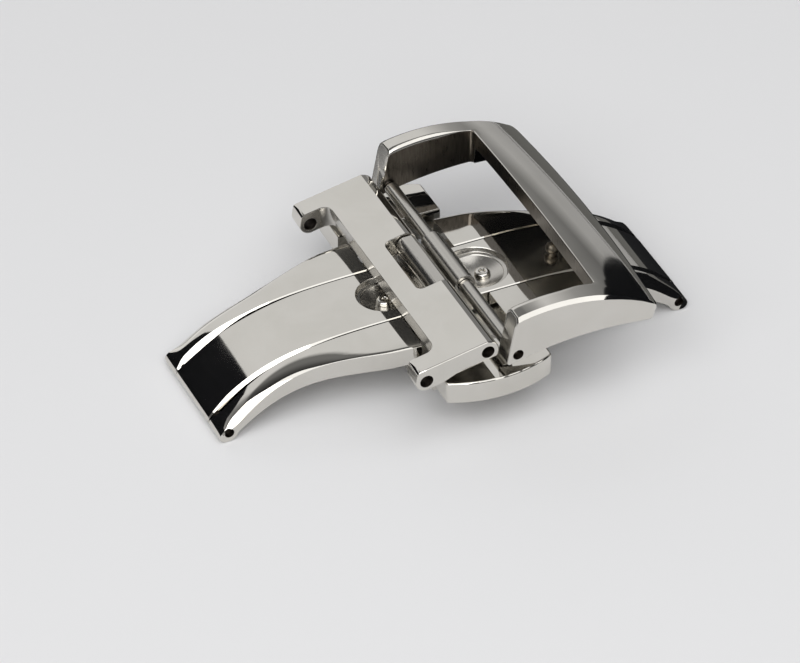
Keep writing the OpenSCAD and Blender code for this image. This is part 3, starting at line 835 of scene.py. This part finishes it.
def ball_stud():
    """A ball on a short neck. It goes into a hole of the strap under the outer bar."""
    top = blade_top(STRAP_STUD[0])
    neck_r = 0.3
    ball_r = 0.45
    middle = top + 0.2 + ball_r / 2
    profile = [(neck_r - 0.01, top - 1.2), (neck_r, top - 1.15), (neck_r, top + 0.14)]
    for degrees in range(-42, 90, 8):
        angle = math.radians(degrees)
        profile.append((ball_r * math.cos(angle), middle + ball_r * math.sin(angle)))
    # The ball's dark brown grey is painted shade.
    piece = polish(piece_from("polished_ball_stud", turned(profile, (*STRAP_STUD, 0), "Z"), SHADED_STUD), 50)
    fit_up(piece, "right_wing", "strap_stud")


def spring_bar():
    """A sleeve with a stepped tip in each end and a spring between them."""
    wall = TUBE_R - TUBE_WALL
    sleeve_end = [
        (wall, TUBE_HALF - 0.05), (wall + 0.03, TUBE_HALF), (TUBE_R - 0.05, TUBE_HALF),
        (TUBE_R - 0.012, TUBE_HALF - 0.025), (TUBE_R, TUBE_HALF - 0.08),
    ]
    profile = [(r, -along) for r, along in sleeve_end] + sleeve_end[::-1]
    tube = piece_from("spring_bar_sleeve", turned(profile, (BAR_X, 0, BAR_Z), looped=True), TURNED)
    fit_up(polish(tube, 40), "buckle", "spring_bar_tube")
    plug_r = wall - 0.01
    plug_start = TUBE_HALF - 1.6
    tip_profile = [
        (plug_r - 0.05, plug_start), (plug_r, plug_start + 0.05), (plug_r, TUBE_HALF - 0.22),
        (TIP_R, TUBE_HALF - 0.2), (TIP_R, TIP_END - 0.12), (TIP_R - 0.03, TIP_END - 0.05),
        (TIP_R - 0.1, TIP_END - 0.01), (0.05, TIP_END),
    ]
    for side, node in ((-1, "spring_bar_tip_near"), (1, "spring_bar_tip_far")):
        name = node.replace("spring_bar_tip", "turned_tip")
        profile = [(r, side * along) for r, along in tip_profile]
        tip = piece_from(name, turned(profile, (BAR_X, 0, BAR_Z)), TURNED)
        fit_up(polish(tip, CRISP_TURNED), "buckle", node)
    coil_r = wall - 0.1
    coil = wire_coil(coil_r, 0.06, 20, 2 * plug_start, (BAR_X, plug_start, BAR_Z), -1)
    spring = piece_from("wound_bar_spring", coil, WIRE)
    fit_up(polish(spring, CRISP_WIRE), "buckle", "spring_bar_spring")


def cross_pins():
    """The pins at the two hinge ends and the one that the bridge turns on."""
    for side, node in ((-1, "hinge_pin_left"), (1, "hinge_pin_right")):
        name = node.replace("hinge_pin", "turned_hinge_pin")
        profile = pin_profile(HINGE_PIN_R, HINGE_PIN_HALF, 0.06)
        # The pins' dark colour is painted shade, the shade of the holes they sit in.
        pin = piece_from(name, turned(profile, (side * PIN_X, 0, PIN_Z)), BORE_SHADE)
        fit_up(polish(pin, CRISP_TURNED), "base", node)
    profile = pin_profile(BRIDGE_PIN_R, BRIDGE_PIN_HALF, 0.08)
    pin = piece_from("turned_bridge_pin", turned(profile, (BRIDGE_X, 0, BRIDGE_Z)), BORE_SHADE)
    fit_up(polish(pin, CRISP_TURNED), "bridge", "bridge_pin")


catch_stud("turned_catch_stud_left", "left_catch_stud", LEFT_STUD_X, "left_wing")
catch_stud("turned_catch_stud_right", "right_catch_stud", RIGHT_STUD_X, "right_wing")
ball_stud()
spring_bar()
cross_pins()


# Bridge

def bridge():
    """The tilted plate with its two arms, drawn flat about its pin and then turned."""
    low_arm = ARM_HOLE_Z - ARM_END_R + 0.02
    corner_x = ARM_HOLE_X - ARM_END_R + 0.52
    corner_r = 0.34
    outline = [
        *arc(0, 0, NOSE_R, -50, 64, 16),
        (0.12, BRIDGE_TOP),
        *arc(corner_x, BRIDGE_TOP - corner_r, corner_r, 90, 160, 7),
        *arc(ARM_HOLE_X, ARM_HOLE_Z, ARM_END_R, 163, 262, 12),
        (ARM_HOLE_X + 0.1, low_arm),
        (-PLATE_DEPTH - 0.4, low_arm),
        (-PLATE_DEPTH + 0.55, -BRIDGE_UNDER),
    ]
    plate = across(outline, -BRIDGE_HALF, BRIDGE_HALF, 0.09, 3)
    piece = piece_from("polished_bridge", plate, POLISHED, TURNED)
    past_arms, past_nose, through = -7, 2, 3
    notch_r, slot_r = 0.7, 0.45
    notch = eased([
        (past_arms, -ARM_INNER, 0), (-PLATE_DEPTH, -ARM_INNER, notch_r),
        (-PLATE_DEPTH, ARM_INNER, notch_r), (past_arms, ARM_INNER, 0),
    ], 8)
    slot = eased([
        (past_nose, -SLOT_HALF, 0), (past_nose, SLOT_HALF, 0),
        (-SLOT_DEPTH, SLOT_HALF, slot_r), (-SLOT_DEPTH, -SLOT_HALF, slot_r),
    ], 8)
    cuts = [upright(cut, -through, through, 0.01, 1) for cut in (notch, slot)]
    work(piece, cuts, "DIFFERENCE", TURNED)
    past_sides = 12
    work(piece, [
        bore(ARM_HOLE_X, ARM_HOLE_Z, ARM_HOLE_R, past_sides), bore(0, 0, BRIDGE_PIN_R + 0.01, past_sides),
    ], "DIFFERENCE", BORE_SHADE)
    break_edges(piece, 0.06)
    settle(piece)
    underside_start = (ARM_HOLE_X - 0.4) * MM
    for face in piece.data.polygons:
        if face.normal.z < -0.7 and face.center.x > underside_start:
            face.material_index = 1
    cosine, sine = math.cos(BRIDGE_TILT), math.sin(BRIDGE_TILT)
    piece.data.transform(Matrix((
        (cosine, 0, -sine, BRIDGE_X * MM),
        (0, 1, 0, 0),
        (sine, 0, cosine, BRIDGE_Z * MM),
        (0, 0, 0, 1),
    )))
    polish(piece, CRISP_FORGED)
    fit_up(piece, "bridge", "bridge_plate")


bridge()


# Buckle frame

def crowned(z, y):
    """A height over the bar, bent down across the strap as the frame's crown is."""
    return math.sqrt((CROWN_R + z) ** 2 - y * y) - CROWN_R


def frame_top(x, y, depth=0.0):
    """Height of the frame's upper face, or of a face at a depth under it."""
    r = FRAME_TOP_R
    return crowned(FRAME_RISE - r - depth + math.sqrt(r * r - (x - FRAME_CREST_X) ** 2), y)


def frame_under(x, y):
    """Height of the frame's lower face."""
    r = FRAME_UNDER_R
    return crowned(FRAME_UNDER_RISE - r + math.sqrt(r * r - (x - FRAME_UNDER_CREST_X) ** 2), y)


def frame_edge(y):
    """X of the frame's outer edge, which bows a little and turns into the corners."""
    corner_y = FRAME_HALF - CORNER_R
    bow = OUTER_EDGE_R - math.sqrt(OUTER_EDGE_R ** 2 - FRAME_HALF ** 2)
    corner_x = FRAME_REACH - bow - CORNER_R
    bowed = FRAME_REACH - OUTER_EDGE_R + math.sqrt(OUTER_EDGE_R ** 2 - y * y)
    over = abs(y) - corner_y
    if over <= 0:
        return bowed
    return min(bowed, corner_x + math.sqrt(max(CORNER_R ** 2 - over * over, 0.0)))


def bar_roundness(x):
    """0 along an arm, whose outer upper edge has a facet, and 1 along the outer bar, where it is round."""
    return fade(x, BAR_ROUND_START, BAR_ROUND_END)


def arm_facet(x):
    """Width of what is taken off the frame's outer upper edge. It narrows along an arm."""
    widest, narrowing, bar_gain = 0.28, 0.16, 0.2
    return widest - narrowing * fade(x, 6.2, 9.4) + bar_gain * bar_roundness(x)


def arm_round(x):
    """Radius of an arm's inner upper edge. It is much less along the outer bar."""
    bar_r, arm_gain = 0.1, 0.3
    return bar_r + arm_gain * (1 - fade(x, 3.2, 5.3))


def arm_end_x(y, z):
    """X of an arm's free end at a height over the bar. It leans out over the bar."""
    crown_drop = CROWN_R - math.sqrt(CROWN_R ** 2 - FRAME_HALF ** 2)
    lowest_x, lowest_z = -0.89, -0.36
    undercut, lean, curl = 0.5, 0.0924, 0.0602
    up = math.hypot(CROWN_R + z, y) - CROWN_R - crown_drop - lowest_z
    if up < 0:
        return lowest_x - undercut * up
    return lowest_x + lean * up + curl * up * up


def other_side(station):
    """The same station of the frame, mirrored across the strap's middle."""
    (inner_x, inner_y), (outer_x, outer_y), hollow = station
    return (inner_x, -inner_y), (outer_x, -outer_y), hollow


def frame_stations():
    """Pairs of plan points on the frame's inner and outer edge, from the near arm round to the far arm.

    Each pair also says whether the frame is hollowed underneath there."""
    fillet = 0.25
    arm_last = BAR_START - fillet
    arm_count = 20
    far_arm = []
    for i in range(arm_count + 1):
        x = ARM_START + (arm_last - ARM_START) * i / arm_count
        far_arm.append(((x, FRAME_INNER), (x, FRAME_HALF), False))
    corner_x = frame_edge(FRAME_HALF)
    side_steps = 5
    side_length = corner_x - arm_last
    outer = [(arm_last + side_length * i / side_steps, FRAME_HALF) for i in range(1, side_steps + 1)]
    for degrees in range(80, -1, -10):
        y = FRAME_HALF - CORNER_R + CORNER_R * math.sin(math.radians(degrees))
        outer.append((frame_edge(y), y))
    bar_last = FRAME_INNER - fillet
    outer.append((frame_edge(bar_last), bar_last))
    for k, point in enumerate(outer):
        angle = math.radians(90 - 90 * (k + 1) / len(outer))
        inner = (arm_last + fillet * math.cos(angle), bar_last + fillet * math.sin(angle))
        far_arm.append((inner, point, False))
    corner_gap = 0.15
    bar_half = bar_last - corner_gap
    bar_count = 20
    bar = []
    for i in range(bar_count):
        y = -bar_half * (1 - 2 * i / bar_count)
        bar.append(((BAR_START, y), (frame_edge(y), y), True))
    bar.append(((BAR_START, bar_half), (frame_edge(bar_last), bar_half), True))
    return [other_side(station) for station in far_arm] + bar + far_arm[::-1]


def frame_ring(inner, outer, hollow):
    """Section of the frame between two plan points."""
    inner, outer = Vector(inner), Vector(outer)
    width = (outer - inner).length
    on = (outer - inner) / width
    inner_r = arm_round(inner.x)
    facet_out = arm_facet(outer.x)
    roundness = bar_roundness(outer.x)
    facet_fall = facet_out * mixed(0.65, 1.0, roundness)
    ease = 0.05
    tuck = 0.2 * fade(outer.x, 9.2, 9.9)

    def at(distance):
        return inner + on * distance

    def upper(distance, down=0.0):
        point = at(distance)
        return (point.x, point.y, frame_top(point.x, point.y) - down)

    def lower(distance, down=0.0):
        point = at(distance)
        return (point.x, point.y, frame_under(point.x, point.y) - down)

    def ceiling(distance, down=0.0):
        if not hollow:
            return lower(distance, down)
        point = at(distance)
        return (point.x, point.y, frame_top(point.x, point.y, BAR_DEPTH) - down)

    ring = []
    round_count = 6
    for i in range(round_count + 1):
        angle = math.radians(90 * i / round_count)
        ring.append(upper(inner_r * (1 - math.cos(angle)), inner_r * (1 - math.sin(angle))))
    across_count = 10
    for i in range(1, across_count):
        ring.append(upper(inner_r + (width - inner_r - facet_out) * i / across_count))
    facet_steps = 4
    for i in range(facet_steps + 1):
        share = i / facet_steps
        turn = math.radians(90 * share)
        along = mixed(share, math.sin(turn), roundness)
        down = mixed(share, 1 - math.cos(turn), roundness)
        ring.append(upper(width - facet_out * (1 - along), facet_fall * down))
    least_side_start = 0.45
    ring += [
        upper(width, max(facet_fall + ease, least_side_start)),
        lower(width - tuck, -ease),
        lower(width - tuck - ease),
    ]
    rim_in = width - RIM
    ceiling_in = rim_in - 0.06
    ring += [lower(rim_in + ease), lower(rim_in, -ease), ceiling(ceiling_in)]
    ceiling_count = 6
    for i in range(1, ceiling_count):
        ring.append(ceiling(ceiling_in * (1 - i / ceiling_count)))
    ring += [ceiling(ease), ceiling(0.0, -ease)]
    return [(x + BAR_X, y, z + BAR_Z) for x, y, z in ring]


def arm_end_rings(first):
    """Rings from an arm's rounded free end to its first upright ring."""
    round_r = 0.17
    steps = []
    for degrees in (0, 22, 45, 67, 90):
        angle = math.radians(degrees)
        steps.append((round_r * (1 - math.sin(angle)), round_r * (1 - math.cos(angle)), 0.0))
    steps += [(0.0, 0.0, part) for part in (0.25, 0.5, 0.75)]
    half_y = (FRAME_HALF - FRAME_INNER) / 2
    mid_y = (FRAME_INNER + FRAME_HALF) / 2 * (1 if first[0][1] > 0 else -1)
    first_guess, guesses = -0.5, 8
    rings = []
    for inset, along, part in steps:
        ring = []
        for x, y, z in first:
            low, high = frame_under(ARM_START, y), frame_top(ARM_START, y)
            share = (z - BAR_Z - low) / (high - low)
            here = first_guess
            for _ in range(guesses):
                low, high = frame_under(here, y), frame_top(here, y)
                level = low + share * (high - low)
                end_x = arm_end_x(y, level)
                here = end_x + part * (ARM_START - end_x)
            ring.append((here + along, y, level))
        levels = [point[2] for point in ring]
        mid_z, half_z = (max(levels) + min(levels)) / 2, (max(levels) - min(levels)) / 2
        shrink_y, shrink_z = 1 - inset / half_y, 1 - inset / half_z
        rings.append([
            (x + BAR_X, mid_y + (y - mid_y) * shrink_y, BAR_Z + mid_z + (z - mid_z) * shrink_z)
            for x, y, z in ring
        ])
    return rings


def nose_room():
    """Room in the arms for the bridge's nose while either of them turns."""
    spacing = math.hypot(BAR_X - BRIDGE_X, BAR_Z - BRIDGE_Z)
    room_r = NOSE_R + 0.12
    nose_turn = 180 - math.degrees(math.atan2(BRIDGE_Z - BAR_Z, BAR_X - BRIDGE_X))
    low_turn = 206
    high_turn = nose_turn - 38
    end = arc(0, 0, spacing, high_turn, high_turn, 1)[0]
    outline = arc(0, 0, spacing + room_r, low_turn, high_turn, 10)
    outline += arc(*end, room_r, high_turn, high_turn - 180, 14)[1:-1]
    outline += arc(0, 0, spacing - room_r, high_turn, low_turn, 10)
    return [(x + BAR_X, z + BAR_Z) for x, z in outline]


def buckle_frame():
    """The frame, polished outside, ground in the strap's passage with painted shade there, and left as
    milled below.
    """
    rings = [frame_ring(*station) for station in frame_stations()]
    bm = skin(arm_end_rings(rings[0]) + rings + arm_end_rings(rings[-1])[::-1])
    for face in bm.faces:
        middle = face.calc_center_median()
        in_passage = abs(middle.y) < FRAME_INNER + 0.01 and middle.x < BAR_X + BAR_START + 0.01
        free_end = face.normal.x < -0.6 and middle.x < BAR_X + ARM_START
        # The passage's faces take a dark colour that is painted shade.
        if in_passage:
            face.material_index = 1
        elif free_end or face.normal.z < -0.4:
            face.material_index = 2
    piece = piece_from("polished_buckle_frame", bm, POLISHED, PASSAGE_SHADE, TURNED)
    room = across(nose_room(), -BRIDGE_HALF - 0.1, BRIDGE_HALF + 0.1, 0.03, 1)
    work(piece, [room], "DIFFERENCE", TURNED)
    work(piece, [bore(BAR_X, BAR_Z, TIP_HOLE_R, 12)], "DIFFERENCE", BORE_SHADE)
    polish(piece, CRISP_FORGED)
    fit_up(piece, "buckle", "buckle_frame")


buckle_frame()


# Pushers

def pusher(name, node, side, body):
    """A bowed button with a foot and a round guide behind it."""
    sag = PUSHER_FACE_R - math.sqrt(PUSHER_FACE_R ** 2 - PUSHER_HALF ** 2)
    half_turn = math.degrees(math.asin((PUSHER_HALF - 0.22) / PUSHER_FACE_R))
    middle = PUSHER_ENDS + sag - PUSHER_FACE_R
    face = arc(0, middle, PUSHER_FACE_R, 90 + half_turn, 90 - half_turn, 36)
    end_y = face[0][1]
    corner = [
        (PUSHER_HALF - 0.1, end_y - 0.07), (PUSHER_HALF - 0.02, end_y - 0.17), (PUSHER_HALF, end_y - 0.3),
        (PUSHER_HALF, PUSHER_BACK),
    ]
    plan = face + corner + [(-x, y) for x, y in corner[::-1]]
    foot_y = PUSHER_BACK + 0.9
    foot = [
        (-PUSHER_HALF, PUSHER_BACK), (PUSHER_HALF, PUSHER_BACK),
        (PUSHER_HALF, foot_y), (-PUSHER_HALF, foot_y),
    ]
    plan, foot = ([(PUSHER_X + x, side * y) for x, y in points] for points in (plan, foot))
    guide = turned([
        (GUIDE_R - 0.06, side * GUIDE_END), (GUIDE_R, side * (GUIDE_END + 0.06)),
        (GUIDE_R, side * (PUSHER_BACK + 0.3)),
    ], (PUSHER_X, 0, GUIDE_Z))
    piece = piece_from(name, upright(plan, PUSHER_TOP - PUSHER_HEIGHT, PUSHER_TOP, 0.14, 3), POLISHED)
    work(piece, [upright(foot, SLIDE_BOTTOM, PUSHER_TOP - 0.8, 0.06), guide], "UNION", SATIN)
    polish(piece, 30)
    fit_up(piece, body, node)


def pusher_spring(name, node, side):
    """The spring behind a pusher."""
    length = PUSHER_BACK - SHOULDER_HALF
    start = (PUSHER_X, side * SHOULDER_HALF, GUIDE_Z)
    spring = polish(piece_from(name, wire_coil(SPRING_R, WIRE_R, 3, length, start, side), WIRE), CRISP_WIRE)
    fit_up(spring, "base", node)
    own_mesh(spring)


pusher("polished_pusher_near", "pusher_near", -1, "near_pusher")
pusher("polished_pusher_far", "pusher_far", 1, "far_pusher")
pusher_spring("wound_pusher_spring_near", "pusher_spring_near", -1)
pusher_spring("wound_pusher_spring_far", "pusher_spring_far", 1)


# The milled parts under the wings keep their CAD shape.

def milled(node):
    """Breaks the edges of a CAD part and brushes it."""
    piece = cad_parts[node]
    weld = piece.modifiers.new("welded", "WELD")
    weld.merge_threshold = 0.001 * MM
    break_edges(piece, 0.05)
    change = piece.modifiers.new("even_faces", "WEIGHTED_NORMAL")
    change.keep_sharp = True
    piece.data.materials.clear()
    piece.data.materials.append(SATIN)


for milled_node in ("base_housing", "base_cover", "cover_screws", "latch_slide_near", "latch_slide_far"):
    milled(milled_node)


# Studio, in metres

def sheet(name, rows, finish):
    """Flat or bent board through rows of points. It belongs to the studio."""
    bm = bmesh.new()
    grid = [[bm.verts.new(point) for point in row] for row in rows]
    for low, high in zip(grid, grid[1:]):
        for i in range(len(low) - 1):
            bm.faces.new((low[i], low[i + 1], high[i + 1], high[i]))
    mesh = bpy.data.meshes.new(name)
    bm.to_mesh(mesh)
    bm.free()
    card = bpy.data.objects.new(name, mesh)
    mesh.materials.append(finish)
    bpy.context.scene.collection.objects.link(card)
    return card


def matt_card(name, colour):
    """Uncoated board: no gloss, one even tone."""
    finish, tree = new_finish(name)
    board = add_node(tree, "ShaderNodeBsdfPrincipled", {
        "Base Color": linear(colour), "Roughness": 0.9, "Specular IOR Level": 0.1,
    })
    add_node(tree, "ShaderNodeOutputMaterial", {"Surface": board.outputs["BSDF"]})
    return finish


def direction(azimuth, elevation):
    """Unit vector with its azimuth from +Y towards +X and its elevation over the floor, in degrees."""
    turn, rise = math.radians(azimuth), math.radians(elevation)
    return Vector((math.sin(turn) * math.cos(rise), math.cos(turn) * math.cos(rise), math.sin(rise)))


def softbox(name, azimuth, elevation, distance, width, height, radiance):
    """An oblong lamp that faces the buckle. Its power gives its face the same brightness at any size."""
    lamp = bpy.data.lights.new(name, "AREA")
    lamp.shape = "RECTANGLE"
    lamp.size, lamp.size_y = width, height
    lamp.energy = radiance * math.pi * width * height
    box = bpy.data.objects.new(name, lamp)
    back = direction(azimuth, elevation)
    box.location = back * distance
    box.rotation_mode = "QUATERNION"
    box.rotation_quaternion = back.to_track_quat("Z", "Y")
    bpy.context.scene.collection.objects.link(box)


def only_reflected(card):
    """The steel reflects the card. The camera doesn't see it, and it shades nothing."""
    card.visible_camera = False
    card.visible_diffuse = False
    card.visible_shadow = False
    card.visible_transmission = False


def flag(name, azimuths, elevations, distance):
    """A black card bent round the buckle between two azimuths and two elevations."""
    steps = 12
    turns = [azimuths[0] + (azimuths[1] - azimuths[0]) * i / steps for i in range(steps + 1)]
    rows = [[direction(turn, elevation) * distance for turn in turns] for elevation in elevations]
    only_reflected(sheet(name, rows, BLACK_CARD))


def back_cards():
    """A black card on the floor behind the buckle, and a grey one beyond it."""
    lift = 0.00002
    black_depth, grey_end = 0.02, 0.25
    spare = 0.15
    left, right = Vector((-0.01707, 0.0327, lift)), Vector((0.0217, -0.0109, lift))
    along = (right - left).normalized()
    away = Vector((-along.y, along.x, 0))
    ends = [left - along * spare, right + along * spare]
    for name, start, end, finish in (
        ("back_card", 0.0, black_depth, BLACK_CARD),
        ("far_card", black_depth, grey_end, GREY_CARD),
    ):
        rows = [[point + away * reach for point in ends] for reach in (start, end)]
        only_reflected(sheet(name, rows, finish))


BLACK_CARD = matt_card("black_card", "#17181B")
GREY_CARD = matt_card("grey_card", "#6E6E6C")
FLOOR_CARD = matt_card("pale_floor_card", "#E1E1E2")

FLOOR_EDGES = (-2.5, 2.5)
sheet("floor", [[(x, y, 0) for x in FLOOR_EDGES] for y in FLOOR_EDGES], FLOOR_CARD)
back_cards()
softbox("top_softbox", azimuth=140, elevation=68, distance=0.6, width=0.69, height=0.61, radiance=1.35)
softbox("left_softbox", azimuth=224, elevation=44, distance=0.6, width=0.72, height=0.45, radiance=3.0)
flag("left_flag", azimuths=(-95, -27), elevations=(0, 37), distance=0.5)
flag("right_flag", azimuths=(49.2, 131), elevations=(0, 40), distance=0.5)

# Light from all round, as (place, level). On the wall a place is the cosine of the angle from its middle.
# In the other two it is the sine of the height over the floor.
WALL_MIDDLE = direction(-8, 36)
WALL_LIGHT = (
    (0.0, 0.12), (0.55, 0.12), (0.7, 0.26), (0.79, 0.38), (0.85, 0.60), (0.9, 0.80), (1.0, 0.82),
)
WALL_TOP = ((0.0, 1.0), (0.745, 1.0), (0.80, 0.25), (1.0, 0.25))
FOOT_LIGHT = ((0.0, 0.30), (0.14, 0.30), (0.26, 0.0), (1.0, 0.0))


def set_greys(node, levels):
    """Gives a colour ramp grey stops, as (place, level)."""
    set_stops(node, [(place, (level, level, level, 1.0)) for place, level in levels])


def studio_air():
    """A bright wall behind the buckle on the left, its foot, and a dim room.

    The camera sees a pale backdrop instead."""
    world = bpy.data.worlds.new("studio_air")
    bpy.context.scene.world = world
    world.use_nodes = True
    air = world.node_tree
    air.nodes.clear()
    place = add_node(air, "ShaderNodeTexCoord")
    wall = add_node(air, "ShaderNodeVectorMath", {
        0: place.outputs["Generated"], 1: WALL_MIDDLE,
    }, operation="DOT_PRODUCT")
    height = add_node(air, "ShaderNodeSeparateXYZ", {"Vector": place.outputs["Generated"]})
    wall_light = add_node(air, "ShaderNodeValToRGB", {"Fac": wall.outputs["Value"]})
    wall_top = add_node(air, "ShaderNodeValToRGB", {"Fac": height.outputs["Z"]})
    foot_light = add_node(air, "ShaderNodeValToRGB", {"Fac": height.outputs["Z"]})
    set_greys(wall_light, WALL_LIGHT)
    set_greys(wall_top, WALL_TOP)
    set_greys(foot_light, FOOT_LIGHT)
    wall_cut = add_node(air, "ShaderNodeMix", data_type="RGBA", blend_type="MULTIPLY")
    both = add_node(air, "ShaderNodeMix", data_type="RGBA", blend_type="ADD")
    for mix, first, second in (
        (wall_cut, wall_light.outputs["Color"], wall_top.outputs["Color"]),
        (both, wall_cut.outputs[2], foot_light.outputs["Color"]),
    ):
        mix.inputs[0].default_value = 1.0
        air.links.new(first, mix.inputs[6])
        air.links.new(second, mix.inputs[7])
    room = add_node(air, "ShaderNodeBackground", {"Color": both.outputs[2]})
    backdrop = add_node(air, "ShaderNodeBackground", {"Color": linear("#E4E4E6")})
    seen = add_node(air, "ShaderNodeLightPath")
    either = add_node(air, "ShaderNodeMixShader", {
        "Fac": seen.outputs["Is Camera Ray"],
        1: room.outputs["Background"],
        2: backdrop.outputs["Background"],
    })
    add_node(air, "ShaderNodeOutputWorld", {"Surface": either.outputs["Shader"]})


studio_air()

# Camera: a long lens from the front left, as in the photograph
AIM = Vector((-1.585, 0.893, 0.181)) * MM
CAMERA_DISTANCE = 0.3594
CAMERA_AZIMUTH = 24.84 + 180
CAMERA_ELEVATION = 38.62
lens = bpy.data.cameras.new("camera")
lens.lens = 247.5
lens.sensor_width = 36.0
lens.sensor_fit = "HORIZONTAL"
lens.clip_start = 0.01
lens.clip_end = 50.0
camera = bpy.data.objects.new("camera", lens)
bpy.context.scene.collection.objects.link(camera)
bpy.context.scene.camera = camera
look = -direction(CAMERA_AZIMUTH, CAMERA_ELEVATION)
camera.location = AIM - look * CAMERA_DISTANCE
camera.rotation_mode = "QUATERNION"
camera.rotation_quaternion = look.to_track_quat("-Z", "Y")

bpy.context.scene.view_settings.view_transform = "Standard"
